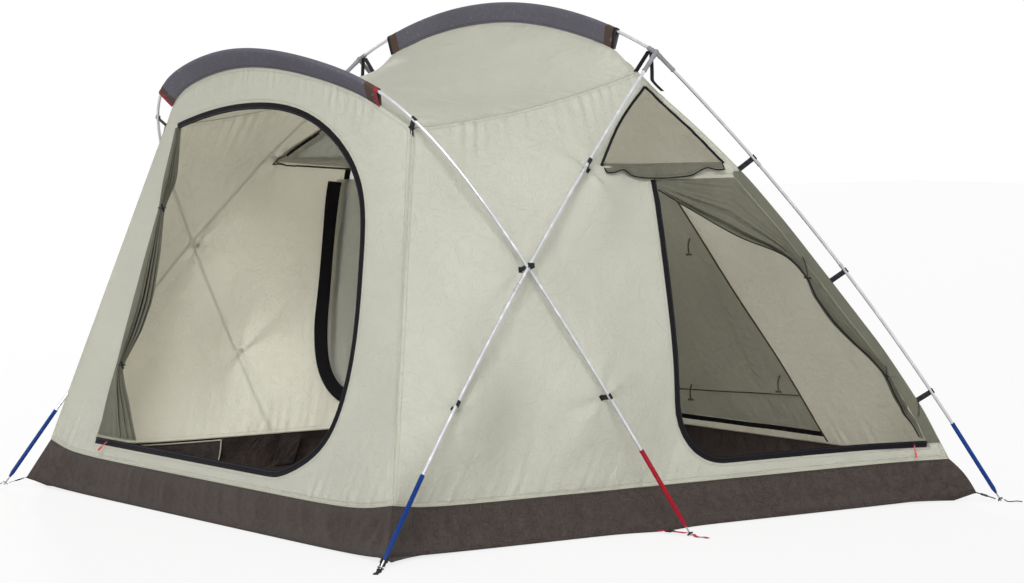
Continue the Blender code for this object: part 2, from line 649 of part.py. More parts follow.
def rod(name, start, end, radius, sides=12):
    """A plain round bar that is joined to a part or cut from it."""
    start, end = Vector(start), Vector(end)
    work = bmesh.new()
    bmesh.ops.create_cone(work, cap_ends=True, segments=sides, radius1=radius, radius2=radius,
                          depth=(end - start).length)
    item = helper(name, to_mesh(work, name))
    turn = (end - start).to_track_quat("Z", "Y").to_matrix().to_4x4()
    item.matrix_world = Matrix.Translation((start + end) / 2) @ turn
    return item


# Tub

def tub_loop(edges):
    """The tub's four sides as one loop, against the clock from the front left corner."""
    left = mirrored(edges["right"])[::-1]
    return np.vstack([edges["front"][:-1], edges["right"][:-1], edges["rear"][::-1][:-1], left[:-1]])


def make_tub():
    upper = {key: resample(UPPER_EDGE[key], len(LOWER[key])) for key in LOWER}
    shifts = {"right": seam_shift(upper["right"], LOWER["right"], SIDE[1], TUB_CLOTH),
              "front": seam_shift(upper["front"], LOWER["front"], FRONT[1], TUB_CLOTH),
              "rear": seam_shift(upper["rear"], LOWER["rear"], REAR[1], TUB_CLOTH)}
    rim = tub_loop({key: upper[key] + shifts[key] for key in upper})
    seam = tub_loop(LOWER)
    floor = seam * vec(FLOOR_IN, FLOOR_IN, 0)
    rings = [rim, (rim + seam) / 2, seam, floor]
    work = bmesh.new()
    loops = [[work.verts.new(point) for point in ring] for ring in rings]
    count = len(rim)
    for upper_ring, lower_ring in zip(loops, loops[1:]):
        for i in range(count):
            k = (i + 1) % count
            work.faces.new((upper_ring[i], lower_ring[i], lower_ring[k], upper_ring[k]))
    work.faces.new(loops[-1][::-1])
    item = add("tub_floor", to_mesh(work, "tub_floor"), "tub")
    solid = item.modifiers.new("thickness", "SOLIDIFY")
    solid.thickness = TUB_CLOTH
    solid.offset = -1


# Door and zip outlines

def offset_line(points, distance):
    """Shift a plane line sideways, to its left for a positive distance."""
    points = np.asarray(points, float)
    along = np.gradient(points, axis=0)
    along /= np.linalg.norm(along, axis=1)[:, None]
    return points + distance * np.column_stack([-along[:, 1], along[:, 0]])


def even(points, count):
    points = np.asarray(points, float)
    return resample(np.column_stack([points, np.zeros(len(points))]), count)[:, :2]


DOOR_FRONT = from_front(SIDE_DOOR_BACK)
DOOR_TOP = HUB[2] - SIDE_DOOR_TOP
SILL = HUB[2] - VENT_SILL


def rear_edge_y(z, inside=REAR_EDGE_IN):
    """y of a line in the side wall, this far before its rear seam."""
    seam = SIDE[:, -1]
    return float(np.interp(z, seam[:, 2], seam[:, 1])) - inside


VENT_REAR = rear_edge_y(SILL, VENT_REAR_IN)


def front_zip_line():
    """(x, z) from the lower left corner along the bottom, up and over to the upper left."""
    rise = ARCH_HEIGHT - FRONT_DOOR_HEAD - FRONT_DOOR_SILL
    knots = [(x, FRONT_DOOR_SILL + rise * share, 0) for x, share in zip(FRONT_DOOR_OUT, FRONT_DOOR_UP)]
    curve = smooth_line(knots, 200)[:, :2]
    bottom = np.linspace((-FRONT_DOOR_LEFT, FRONT_DOOR_SILL), curve[0], 40)[:-1]
    return even(np.vstack([bottom, curve]), FRONT_ZIP_STATIONS)


def side_zip_line():
    """(y, z) from the top of the front edge, down, round the corner and back along the bottom."""
    r = SIDE_DOOR_CORNER
    top = (DOOR_FRONT, DOOR_TOP - CUT_GAP)
    rear = rear_edge_y(SIDE_DOOR_SILL + ZIP_WIDTH / 2) - CUT_GAP
    angles = np.radians(np.linspace(180, 270, 24))
    turn = np.column_stack([DOOR_FRONT + r + r * np.cos(angles), SIDE_DOOR_SILL + r + r * np.sin(angles)])
    front = np.linspace(top, turn[0], 30)[:-1]
    bottom = np.linspace(turn[-1], (rear, SIDE_DOOR_SILL), 30)[1:]
    return even(np.vstack([front, turn, bottom]), SIDE_ZIP_STATIONS)


FRONT_LINE = front_zip_line()
SIDE_LINE = side_zip_line()


def front_door_outline():
    """(x, z) outline of the front door's cut: round the zip and straight down its left side."""
    outline = offset_line(FRONT_LINE, -(ZIP_WIDTH / 2 + CUT_GAP))
    outline[0] += (2 * CUT_GAP + ZIP_WIDTH / 4) * unit(outline[0] - outline[1])
    outline[-1] += 2 * CUT_GAP * unit(outline[-1] - outline[-2])
    return outline


def front_edge_x(z):
    """The cut's left side at this height."""
    outline = front_door_outline()
    return float(np.interp(z, [outline[0][1], outline[-1][1]], [outline[0][0], outline[-1][0]]))


def side_door_outline(filled=False):
    """(y, z) outline of the side door's cut, or of the panel that fills it inside its zip."""
    zip_side = offset_line(SIDE_LINE, (ZIP_WIDTH / 2 + CUT_GAP) * (1 if filled else -1))
    inside = CUT_GAP if filled else 0.0
    zip_side[0, 1] = DOOR_TOP - inside
    rear = [(rear_edge_y(z) - inside, z) for z in np.linspace(zip_side[-1, 1], DOOR_TOP - inside, 8)]
    return np.vstack([zip_side[:-1], rear])


def vent_outline(filled=False):
    """(y, z) corners of the vent; a triangle's sharp corners draw in further than its sides."""
    inside = CUT_GAP if filled else 0.0
    return [(HUB[1] - VENT_FRONT + 2 * inside, SILL + inside), (VENT_REAR - 2 * inside, SILL + inside),
            (HUB[1] + VENT_TOP_BACK, HUB[2] - VENT_TOP - 1.5 * inside)]


class Wall:
    """Reads the cloth's place on its mid-surface: the front wall's along Y, a side wall's along X."""

    def __init__(self, grid, is_side):
        self.is_side = is_side
        work = grid_bmesh(grid)
        self.tree = BVHTree.FromBMesh(work)
        work.free()

    def point(self, a, b):
        if self.is_side:
            start, way = Vector((BASE_WIDTH, a, b)), Vector((-1, 0, 0))
        else:
            start, way = Vector((a, -BASE_LENGTH, b)), Vector((0, 1, 0))
        return np.array(self.tree.ray_cast(start, way)[0])


FRONT_WALL = Wall(FRONT, False)
SIDE_WALL = Wall(SIDE, True)


# Walls, roof and the closed left door

def make_walls():
    front = cloth_object("front_wall", FRONT_PANEL, "wall")
    boolean(front, front_cutter("front_door_cut", front_door_outline()), "DIFFERENCE")
    cloth_object("rear_wall", REAR_PANEL, "wall")
    cloth_object("roof", ROOF_PANEL, "wall")
    for name, side in (("right", 1), ("left", -1)):
        wall = cloth_object(name + "_wall", SIDE_PANEL * vec(side, 1, 1), "wall")
        for part, outline in (("door", side_door_outline()), ("vent", vent_outline())):
            boolean(wall, side_cutter(name + "_" + part + "_cut", outline, side), "DIFFERENCE")
    for name, outline, look in (("left_door_panel", side_door_outline(True), "flap"),
                                ("left_vent_panel", vent_outline(True), "mesh")):
        panel = cloth_object(name, SIDE_PANEL * vec(-1, 1, 1), look)
        boolean(panel, side_cutter(name + "_shape", outline, -1), "INTERSECT")


# Zips

def make_zip(name, wall, line, run, rest, side=1):
    """Zip tape, and a slider with its pull on the tape's straight foot.

    `run` is where the foot is straight, `rest` the slider's share of it.
    """
    lower, upper = [np.array([wall.point(a, b) for a, b in offset_line(line, offset)])
                    for offset in (-ZIP_WIDTH / 2, ZIP_WIDTH / 2)]
    low = line[:, 1] < line[:, 1].min() + ZIP_THICKNESS
    first, last = np.nonzero(low & (line[:, 0] > run[0]) & (line[:, 0] < run[1]))[0][[0, -1]]
    rise = (upper[first] - lower[first] + upper[last] - lower[last]) / 2
    share = ((line[first:last + 1, 0] - line[first, 0]) / (line[last, 0] - line[first, 0]))[:, None]
    foot = lower[first] * (1 - share) + lower[last] * share
    lower[first:last + 1] = foot
    upper[first:last + 1] = foot + rise
    flip = vec(side, 1, 1)
    grid = np.array([lower, upper]) * flip
    through_wall = (1, 0, 0) if wall.is_side else (0, 1, 0)
    add(name + "_zip", plate_mesh(name + "_zip", grid, through_wall, ZIP_THICKNESS), "black")
    start, end = grid[:, first].mean(axis=0), grid[:, last].mean(axis=0)
    along, up = unit(end - start), unit(rise * flip)
    out = unit(np.cross(along, up))
    outside = vec(side, 0, 0) if wall.is_side else vec(0, -1, 0)
    if out @ outside < 0:
        along, out = -along, -out
    up = np.cross(out, along)
    face = start + (end - start) * rest + out * (ZIP_THICKNESS / 2 + SEAM_GAP)
    make_slider(name, face, along, out, up)


def make_slider(name, face, along, out, up):
    length, height, depth = SLIDER
    work = bmesh.new()
    bmesh.ops.create_cube(work, size=1)
    bmesh.ops.scale(work, vec=SLIDER, verts=work.verts[:])
    slider = add(name + "_zip_slider", to_mesh(work, name + "_zip_slider"), "black")
    bevel = slider.modifiers.new("edges", "BEVEL")
    bevel.width = depth / 5
    bevel.segments = 1
    slider.matrix_world = placed(along, up, out, face + out * depth / 2)
    root = face + out * (depth + PULL_ROOT + RUN_CLEARANCE)
    lean = math.radians(PULL_LEAN)
    down = unit(-up * math.cos(lean) + out * math.sin(lean))
    outline = tab_outline(PULL_ROOT, PULL_TAPE / 2, PULL_LENGTH)
    pull = add(name + "_zip_pull", flat_mesh(name + "_zip_pull", outline, PULL_WIDTH), "pull")
    pull.matrix_world = placed(down, np.cross(along, down), along, root)


def tab_outline(root, half, length):
    """A tape's side view: a round root at the origin, then a flat strip along +X."""
    start = math.asin(half / root)
    angles = np.linspace(start, 2 * math.pi - start, 9)
    arc = [(root * math.cos(a), root * math.sin(a)) for a in angles]
    return [(length, half)] + arc + [(length, -half)]


# Poles

def make_pole(name, points, look="metal"):
    curve = bpy.data.curves.new(name, "CURVE")
    curve.dimensions = "3D"
    curve.bevel_depth = POLE_DIAMETER / 2
    curve.bevel_resolution = 2
    curve.use_fill_caps = True
    line = curve.splines.new("POLY")
    line.points.add(len(points) - 1)
    for spot, place in zip(line.points, points):
        spot.co = (*place, 1)
    add(name, curve, look)


def stations(start, stop, clips, fixed=()):
    """Lengths at which a pole is drawn: straight under its clips, else at most a step apart."""
    marks = [start, stop, *fixed]
    for clip in clips:
        marks += [clip - STRAIGHT, clip + STRAIGHT]
    marks = sorted(marks)
    lengths = []
    for near, far in zip(marks, marks[1:]):
        parts = max(1, math.ceil((far - near) / POLE_STEP))
        lengths += list(np.linspace(near, far, parts + 1)[:-1])
    return lengths + [stop]


def along_route(route, lengths, side=1):
    return [route.at(s) * vec(side, 1, 1) for s in lengths]


def end_way(route):
    """Direction of the coloured end that a pole starts with."""
    return unit(route.at(END_LENGTH) - route.at(0))


def foot_points(route, side=1):
    """A pole's first points, straight inside its coloured end and a little past it."""
    way = end_way(route)
    tip = route.at(0)
    return [(tip + way * s) * vec(side, 1, 1) for s in (END_LENGTH - END_OVERLAP, END_LENGTH + MOUTH_RUN)]


def hub_way(route, length):
    """Direction of a hub's socket, from the hub into the pole that ends there."""
    return unit(route.at(route.length - length) - route.at(route.length))


def hub_points(route, length, side=1):
    way = hub_way(route, length)
    hub = route.at(route.length)
    return [(hub + way * s) * vec(side, 1, 1) for s in (length + MOUTH_RUN, SOCKET_FLOOR)]


def make_legs():
    places = {"front": (FRONT_LEG, FRONT_CLIPS, [CROSS_AT]), "rear": (REAR_LEG, REAR_CLIPS, [])}
    for end, (route, clips, extra) in places.items():
        at = sorted([route.at_height(clip[0]) for clip in clips] + extra)
        lengths = stations(END_LENGTH + POLE_STEP / 2, route.length - LEG_SOCKET_LENGTH - POLE_STEP / 2, at)
        for name, side in (("left", -1), ("right", 1)):
            middle = along_route(route, lengths, side)
            points = foot_points(route, side) + middle + hub_points(route, LEG_SOCKET_LENGTH, side)
            make_pole(f"{end}_{name}_leg", points)


def make_arch():
    marks = [RIGHT_ARCH.at_height(clip[0]) for clip in ARCH_CLIPS] + [RIGHT_ARCH.nearest(CROSS_ARCH)]
    below_sleeve = float(np.min(sleeve_lengths(ARCH))) - STRAIGHT
    low = [s for s in stations(END_LENGTH + POLE_STEP / 2, RIGHT_ARCH.length, marks) if s < below_sleeve]
    foot = foot_points(RIGHT_ARCH) + along_route(RIGHT_ARCH, low)
    left = [point * vec(-1, 1, 1) for point in foot]
    make_pole("front_arch_pole", left + list(ARCH_SLEEVE) + foot[::-1])


def make_ridge():
    end = hub_points(RIDGE, RIDGE_SOCKET_LENGTH)
    start = [point * vec(-1, 1, 1) for point in end[::-1]]
    between = (SLEEVE_OUT + end[0][0]) / 2
    right = RIDGE.at(RIDGE.lengths[int(np.argmin(np.abs(RIDGE.points[:, 0] - between)))])
    make_pole("ridge_pole", start + [right * vec(-1, 1, 1)] + list(RIDGE_SLEEVE) + [right] + end)


def turned(name, profile, steps, look):
    """A turned piece; its profile (radius, height) runs from the top down its outer side."""
    mesh = bpy.data.meshes.new(name)
    points = [(radius, 0, height) for radius, height in profile]
    mesh.from_pydata(points, [(i, i + 1) for i in range(len(points) - 1)], [])
    item = add(name, mesh, look)
    screw = item.modifiers.new("turn", "SCREW")
    screw.steps = steps
    screw.render_steps = steps
    screw.use_merge_vertices = True
    screw.merge_threshold = 0.00001
    screw.use_smooth_shade = True
    return item


def tip_start(way):
    """How far below its line's end a pole's pin reaches, to stand just over the ground."""
    lean = math.acos(way[2])
    return (TIP_HEIGHT - PIN_DIAMETER / 2 * math.sin(lean) - GROUND_GAP) / math.cos(lean)


def make_end(name, route, side, look):
    way = end_way(route) * vec(side, 1, 1)
    below = tip_start(way)
    origin = route.at(0) * vec(side, 1, 1) - way * below
    top = END_LENGTH + below
    bore = POLE_DIAMETER / 2 + RUN_CLEARANCE
    floor = top - END_OVERLAP - RUN_CLEARANCE
    pin = PIN_DIAMETER / 2
    outer = END_DIAMETER / 2
    profile = [(0, floor), (bore, floor), (bore, top), (outer, top), (outer, TAPER_TO + below),
               (pin, TAPER_FROM + below), (pin, 0), (0, 0)]
    item = turned(name, profile, 12, look)
    item.matrix_world = Matrix.Translation(origin) @ Vector(way).to_track_quat("Z", "Y").to_matrix().to_4x4()


def make_hub(name, side):
    center = HUB * vec(side, 1, 1)
    ways = [(hub_way(FRONT_LEG, LEG_SOCKET_LENGTH), LEG_SOCKET_LENGTH),
            (hub_way(REAR_LEG, LEG_SOCKET_LENGTH), LEG_SOCKET_LENGTH),
            (hub_way(RIDGE, RIDGE_SOCKET_LENGTH), RIDGE_SOCKET_LENGTH)]
    work = bmesh.new()
    bmesh.ops.create_uvsphere(work, u_segments=12, v_segments=8, radius=HUB_DIAMETER / 2)
    hub = add(name, to_mesh(work, name), "hub")
    hub.location = center
    for i, (way, length) in enumerate(ways):
        way = way * vec(side, 1, 1)
        socket = rod(f"{name}_socket_{i}", center, center + way * length, SOCKET_DIAMETER / 2)
        boolean(hub, socket, "UNION")
    for i, (way, length) in enumerate(ways):
        way = way * vec(side, 1, 1)
        start = center + way * (SOCKET_FLOOR - RUN_CLEARANCE)
        bore = rod(f"{name}_bore_{i}", start, center + way * (length + END_DIAMETER),
                   POLE_DIAMETER / 2 + RUN_CLEARANCE)
        boolean(hub, bore, "DIFFERENCE")


# Clips

def arc_points(center, radius, start, stop, count):
    angles = np.radians(np.linspace(start, stop, count))
    return [(center + radius * math.cos(a), radius * math.sin(a)) for a in angles]


def clip_outline(reach):
    """Side view: rolled root at the origin, tape along +X, and a hook over the pole.

    The hook covers the pole on its +Y side and is open towards -Y.
    """
    inner = POLE_DIAMETER / 2 + CLIP_CLEARANCE
    outer = inner + CLIP_WALL
    half = CLIP_TAPE / 2
    tape_start = math.degrees(math.asin(half / ROOT_RADIUS))
    meets = math.degrees(math.asin(half / outer))
    root = arc_points(0, ROOT_RADIUS, tape_start, 360 - tape_start, 6)
    slot = [(reach - inner, -half)] + arc_points(reach, inner, 180, 0, 7) + [(reach + inner, -CLIP_LIP)]
    back = [(reach + outer, -CLIP_LIP)] + arc_points(reach, outer, 0, 180 - meets, 7)
    return root + slot + back


def cross_outline(reach, angle):
    """As clip_outline, with one square hook over both poles where they cross."""
    radius = POLE_DIAMETER / 2
    spread = radius / math.cos(angle) + CROSS_WIDTH / 2 * math.tan(angle)
    near = reach - radius - CLIP_CLEARANCE - CLIP_TAPE / 2
    far = reach + 3 * radius + CROSS_CLEARANCE + CLIP_CLEARANCE
    top = spread + CLIP_CLEARANCE
    half = CLIP_TAPE / 2
    tape_start = math.degrees(math.asin(half / ROOT_RADIUS))
    wall = CLIP_WALL
    return (arc_points(0, ROOT_RADIUS, tape_start, 360 - tape_start, 6)
            + [(near, -half), (near, top), (far, top), (far, -CROSS_LIP), (far + wall, -CROSS_LIP),
               (far + wall, top), (far, top + wall), (near, top + wall), (near - wall, top),
               (near - wall, half)])


def put_clip(name, outline, width, pole_point, along, out, reach, side):
    """Place a clip with its hinge on its root; mirrored on the left side."""
    flip = vec(side, 1, 1)
    out = out * flip
    along = along * flip * side
    root = pole_point * flip - out * reach
    clip = add(name, flat_mesh(name, outline, width), "black")
    clip.matrix_world = placed(out, np.cross(along, out), along, root)


def make_clips():
    groups = (("rear", REAR_CLIPS, REAR_PLACES), ("front", FRONT_CLIPS, FRONT_PLACES),
              ("arch", ARCH_CLIPS, ARCH_PLACES))
    leg_way = FRONT_LEG.direction(CROSS_AT)
    arch_way = RIGHT_ARCH.direction(RIGHT_ARCH.nearest(CROSS_ARCH))
    along = unit(leg_way + arch_way)
    along = unit(along - (along @ CROSS_OUT) * CROSS_OUT)
    crossing = cross_outline(CROSS_REACH, math.acos(float(leg_way @ arch_way)) / 2)
    for name, side in (("left", -1), ("right", 1)):
        for group, clips, places in groups:
            for i, (clip, place) in enumerate(zip(clips, places), 1):
                put_clip(f"{group}_{name}_clip_{i}", clip_outline(clip[1]), CLIP_WIDTH,
                         place[0], place[1], place[2], clip[1], side)
        put_clip(f"crossing_{name}_clip", crossing, CROSS_WIDTH, CROSS_ARCH, along, CROSS_OUT, CROSS_REACH, side)


# Straps

def band_outline(path, thickness):
    """A tape's side view along a path, thickened to both sides."""
    return [*offset_line(path, thickness / 2), *offset_line(path, -thickness / 2)[::-1]]


def make_foot_strap(name, tub_point, route, side, look):
    """Webbing from the tub to the ring round a pole's pin, and its flat tail."""
    way = end_way(route)
    below = tip_start(way)
    bottom = route.at(0) - way * below
    lean = math.acos(way[2])
    up = RING_DIAMETER / 2 * math.sin(lean) + RING_THICKNESS / 2 * math.cos(lean) + GROUND_GAP
    ring = bottom + way * (up - bottom[2]) / way[2]
    flat = vec(1, 1, 0)
    outward = unit((ring - tub_point) * flat)
    span = float((ring - tub_point) @ outward)
    slope = -float(way @ outward) / way[2]
    ground = STRAP_THICKNESS / 2 + GROUND_GAP
    near, far = span - RING_BED, span + RING_BED
    path = [(STRAP_START, tub_point[2]), (near, max(ground, ring[2] - slope * RING_BED)),
            (far, max(ground, ring[2] + slope * RING_BED)), (far + TAIL_STEP, ground),
            (far + TAIL_STEP + TAIL_LENGTH, ground)]
    outline = band_outline(np.array(path), STRAP_THICKNESS)
    flip = vec(side, 1, 1)
    strap = add(name, flat_mesh(name, outline, STRAP_WIDTH), look)
    line, rise = outward * flip, vec(0, 0, 1)
    strap.matrix_world = placed(line, rise, np.cross(line, rise), tub_point * flip * flat)
    pin_way = way * flip
    middle = ring * flip
    half_ring = pin_way * RING_THICKNESS / 2
    boolean(strap, rod(name + "_ring", middle - half_ring, middle + half_ring, RING_DIAMETER / 2, 16), "UNION")
    half_hole = pin_way * RING_DIAMETER
    hole = rod(name + "_hole", middle - half_hole, middle + half_hole, PIN_DIAMETER / 2 + RING_CLEARANCE)
    boolean(strap, hole, "DIFFERENCE")


def make_feet():
    front = tub_corner(True, CORNER_IN, CORNER_LIFT)
    rear = tub_corner(False, CORNER_IN, CORNER_LIFT)
    right = LOWER_EDGE["right"]
    middle = right[int(np.argmin(np.abs(right[:, 1] - ARCH_TIP[1])))] + vec(0, 0, MIDDLE_STRAP_LIFT)
    feet = (("front", front, FRONT_LEG, "blue"), ("rear", rear, REAR_LEG, "blue"),
            ("middle", middle, RIGHT_ARCH, "red"))
    for place, tub_point, route, look in feet:
        for name, side in (("left", -1), ("right", 1)):
            make_end(f"{place}_{name}_pole_end", route, side, look)
            make_foot_strap(f"{place}_{name}_strap", tub_point, route, side, "black")


def make_hub_strap(name, side):
    """Webbing from the roof's corner up to the hub's ridge socket, with a hanging tail."""
    way = hub_way(RIDGE, RIDGE_SOCKET_LENGTH)
    under = np.cross(way, vec(0, 1, 0))
    if under[2] > 0:
        under = -under
    lift = SOCKET_DIAMETER / 2 + RUN_CLEARANCE + STRAP_THICKNESS / 2
    high = HUB + way * HUB_STRAP_REACH + under * lift
    near = HUB + way * HUB_TAIL_IN + under * lift
    start = ROOF_REAR + vec(HUB_STRAP_OUT, 0, HUB_STRAP_LOW)
    path = [start, high, near, near - vec(0, 0, HUB_TAIL)]
    outline = band_outline(np.array([(point[0], point[2]) for point in path]), STRAP_THICKNESS)
    outline = [(x * side, z) for x, z in outline]
    strap = add(name, flat_mesh(name, outline, STRAP_WIDTH), "black")
    strap.matrix_world = Matrix.Translation((0, HUB[1], 0)) @ ALONG_Y


# Sleeves

def make_sleeve(name, points, normal):
    """A closed teardrop of cloth round a pole, down to the seam that it is sewn in."""
    along = np.gradient(points, axis=0)
    along /= np.linalg.norm(along, axis=1)[:, None]
    down = np.cross(along, normal)
    down *= np.where(down[:, 2:3] > 0, -1, 1)
    side = np.cross(along, down)
    depth = SLEEVE_HEIGHT - SLEEVE_SEAT
    ring = [(-SLEEVE_FOOT, depth), (-SLEEVE_RADIUS, 0)]
    ring += [(SLEEVE_RADIUS * math.sin(a), -SLEEVE_RADIUS * math.cos(a)) for a in np.radians([-45, 0, 45])]
    ring += [(SLEEVE_RADIUS, 0), (SLEEVE_FOOT, depth)]
    grid = np.array([points + side * across + down * drop for across, drop in ring + ring[:1]])
    work = grid_bmesh(grid)
    bmesh.ops.remove_doubles(work, verts=work.verts[:], dist=0.00001)
    bmesh.ops.recalc_face_normals(work, faces=work.faces[:])
    item = add(name, to_mesh(work, name), "sleeve")
    solid = item.modifiers.new("thickness", "SOLIDIFY")
    solid.thickness = SLEEVE_CLOTH
    solid.offset = -1


# Flaps

def side_hem(columns):
    """(y, z) line of the side door's loose hem."""
    hem = []
    for back, up in zip(SIDE_HEM_BACK, SIDE_HEM_UP):
        z = SIDE_DOOR_SILL + (DOOR_TOP - SIDE_DOOR_SILL) * up
        hem.append((DOOR_FRONT + (rear_edge_y(z) - DOOR_FRONT) * back, z))
    return even(hem, columns)


def make_side_flap():
    """The right door, unzipped and tied back in two places along its sewn rear edge."""
    columns, rows = SIDE_FLAP_GRID
    hem = side_hem(columns)
    zip_in = DOOR_FRONT + ZIP_WIDTH / 2 + CUT_GAP
    top = DOOR_TOP - CUT_GAP
    rear = [(rear_edge_y(z) - 2 * CUT_GAP, z) for z in np.linspace(top, hem[-1][1], 30)]
    sewn = even([(zip_in + CUT_GAP, top)] + rear, columns)
    grid = np.zeros((rows, columns, 3))
    for i, u in enumerate(np.linspace(0, 1, columns)):
        free = min(1.0, min(abs(tie - u) for tie in SIDE_TIES) / TIE_REACH)
        depth = SIDE_FLAP_FOLD * (TIED_FOLD + (1 - TIED_FOLD) * free) * min(1.0, u / SIDE_FLAP_EASE,
                                                                            (1 - u) / SIDE_FLAP_EASE)
        for j, v in enumerate(np.linspace(0, 1, rows)):
            a, b = hem[i] * (1 - v) + sewn[i] * v
            # The folds run along the hem and turn a third of the way round on their way down
            turn = 2 * math.pi * (SIDE_FLAP_FOLDS * v + (1 + 2 * u) / 6)
            grid[j, i] = SIDE_WALL.point(a, b) + vec(depth * (1 - v) * math.sin(turn), 0, 0)
    add("right_door_flap", plate_mesh("right_door_flap", grid, (1, 0, 0), CLOTH), "flap")


def make_front_flap():
    """The front door, gathered into a bundle along its left edge and tied in two places."""
    heights = np.linspace(FRONT_LINE[-1][1] - ZIP_WIDTH, FRONT_LINE[0][1] + ZIP_WIDTH, BUNDLE_STATIONS)
    shares = np.linspace(0, 1, BUNDLE_STATIONS)
    radii = np.interp(shares, np.linspace(0, 1, len(BUNDLE_RADII)), BUNDLE_RADII)
    angles = np.linspace(0, 2 * math.pi, BUNDLE_SIDES, endpoint=False)
    work = bmesh.new()
    loops = []
    for height, radius in zip(heights, radii):
        center = FRONT_WALL.point(front_edge_x(height) + radius + BUNDLE_GAP, height)
        ring = []
        for angle in angles:
            reach = radius * (1 - BUNDLE_FOLD * (1 - math.cos(BUNDLE_FOLDS * (angle - math.pi))) / 2)
            offset = vec(reach * math.cos(angle), reach * math.sin(angle) * BUNDLE_FLAT, 0)
            ring.append(work.verts.new(center + offset))
        loops.append(ring)
    for upper, lower in zip(loops, loops[1:]):
        for i in range(BUNDLE_SIDES):
            k = (i + 1) % BUNDLE_SIDES
            work.faces.new((upper[i], lower[i], lower[k], upper[k]))
    work.faces.new(loops[0])
    work.faces.new(loops[-1][::-1])
    bmesh.ops.triangulate(work, faces=work.faces[:])
    bmesh.ops.recalc_face_normals(work, faces=work.faces[:])
    add("front_door_flap", to_mesh(work, "front_door_flap"), "flap")


def make_vent_flap():
    """The right vent's cover, let down over its sill, curling up at both ends."""
    columns = VENT_FLAP_ACROSS
    rolls = list(zip(VENT_ROLL_OUT, VENT_ROLL_UP))
    falls = list(zip(VENT_FALL_OUT, VENT_FALL_DOWN))
    grid = np.zeros((len(rolls) + len(falls), columns, 3))
    backs = np.linspace(HUB[1] - VENT_FRONT + VENT_FLAP_IN, VENT_REAR - VENT_FLAP_IN, columns)
    for i, (back, u) in enumerate(zip(backs, np.linspace(0, 1, columns))):
        curl = sum(math.exp(-((u - at) / VENT_CURL_REACH) ** 2) for at in (VENT_CURL_AT, 1 - VENT_CURL_AT))
        hang = VENT_HANG * (VENT_SIDE_HANG + (1 - VENT_SIDE_HANG) * math.sin(math.pi * u))
        hang *= 1 - VENT_CURL_LIFT * curl
        for j, (out, up) in enumerate(rolls):
            lifted = VENT_CURL_OUT * curl * j / len(rolls)
            grid[j, i] = SIDE_WALL.point(back, SILL) + vec(out + lifted, 0, up)
        for j, (out, down) in enumerate(falls, len(rolls)):
            grid[j, i] = SIDE_WALL.point(back, SILL - down * hang) + vec(out + VENT_CURL_OUT * curl, 0, 0)
    cloth_object("right_vent_flap", grid, "flap", VENT_FLAP_CLOTH)


# The tent

make_tub()
make_walls()
make_sleeve("front_sleeve", ARCH_SLEEVE, ARCH_NORMAL)
make_sleeve("ridge_sleeve", RIDGE_SLEEVE, RIDGE_NORMAL)
FRONT_RUN = (FRONT_RUN_IN - FRONT_DOOR_LEFT, FRONT_DOOR_OUT[0] - FRONT_RUN_IN)
SIDE_RUN = (SIDE_LINE[-1][0] - SIDE_RUN_START, SIDE_LINE[-1][0] - SIDE_RUN_END)
make_zip("front", FRONT_WALL, FRONT_LINE, FRONT_RUN, FRONT_REST)
make_zip("right", SIDE_WALL, SIDE_LINE, SIDE_RUN, 1 - SIDE_REST)
make_zip("left", SIDE_WALL, SIDE_LINE, SIDE_RUN, SIDE_REST, -1)
make_legs()
make_arch()
make_ridge()
make_feet()
for hub_name, hub_side in (("left", -1), ("right", 1)):
    make_hub(hub_name + "_hub", hub_side)
    make_hub_strap(hub_name + "_hub_strap", hub_side)
make_clips()
make_front_flap()
make_side_flap()
make_vent_flap()
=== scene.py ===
# Family dome tent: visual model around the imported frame.
import json
import math

import bpy
import numpy as np
from mathutils import Matrix, Vector
from mathutils.bvhtree import BVHTree
from mathutils.kdtree import KDTree

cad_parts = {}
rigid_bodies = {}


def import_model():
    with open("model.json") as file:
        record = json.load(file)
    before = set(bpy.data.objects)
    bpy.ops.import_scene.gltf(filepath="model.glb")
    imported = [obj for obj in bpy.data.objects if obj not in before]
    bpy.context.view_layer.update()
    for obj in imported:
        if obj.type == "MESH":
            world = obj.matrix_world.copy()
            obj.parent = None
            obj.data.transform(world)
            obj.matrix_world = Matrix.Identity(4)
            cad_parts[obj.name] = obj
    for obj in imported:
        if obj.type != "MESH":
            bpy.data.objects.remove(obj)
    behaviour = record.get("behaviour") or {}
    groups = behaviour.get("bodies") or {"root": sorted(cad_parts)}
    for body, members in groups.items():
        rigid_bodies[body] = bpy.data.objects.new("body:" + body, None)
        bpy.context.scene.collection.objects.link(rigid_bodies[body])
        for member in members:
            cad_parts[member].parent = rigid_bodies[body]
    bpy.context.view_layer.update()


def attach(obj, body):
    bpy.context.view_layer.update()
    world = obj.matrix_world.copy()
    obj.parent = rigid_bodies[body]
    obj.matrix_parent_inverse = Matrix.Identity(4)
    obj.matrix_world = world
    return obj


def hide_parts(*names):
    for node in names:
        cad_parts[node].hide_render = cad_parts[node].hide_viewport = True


for startItem in list(bpy.data.objects):
    bpy.data.objects.remove(startItem, do_unlink=True)

print("stage: frame")
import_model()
rng = np.random.default_rng(27)


def deselectAll():
    if bpy.context.mode != "OBJECT":
        bpy.ops.object.mode_set(mode="OBJECT")
    bpy.ops.object.select_all(action="DESELECT")


def onlyActive(item):
    deselectAll()
    item.select_set(True)
    bpy.context.view_layer.objects.active = item


# Shader tools

def feed(tree, socket, value):
    # An input takes another node's output, a colour or a number.
    if isinstance(value, bpy.types.NodeSocket):
        tree.links.new(value, socket)
    else:
        socket.default_value = (*value, 1) if isinstance(value, tuple) else value


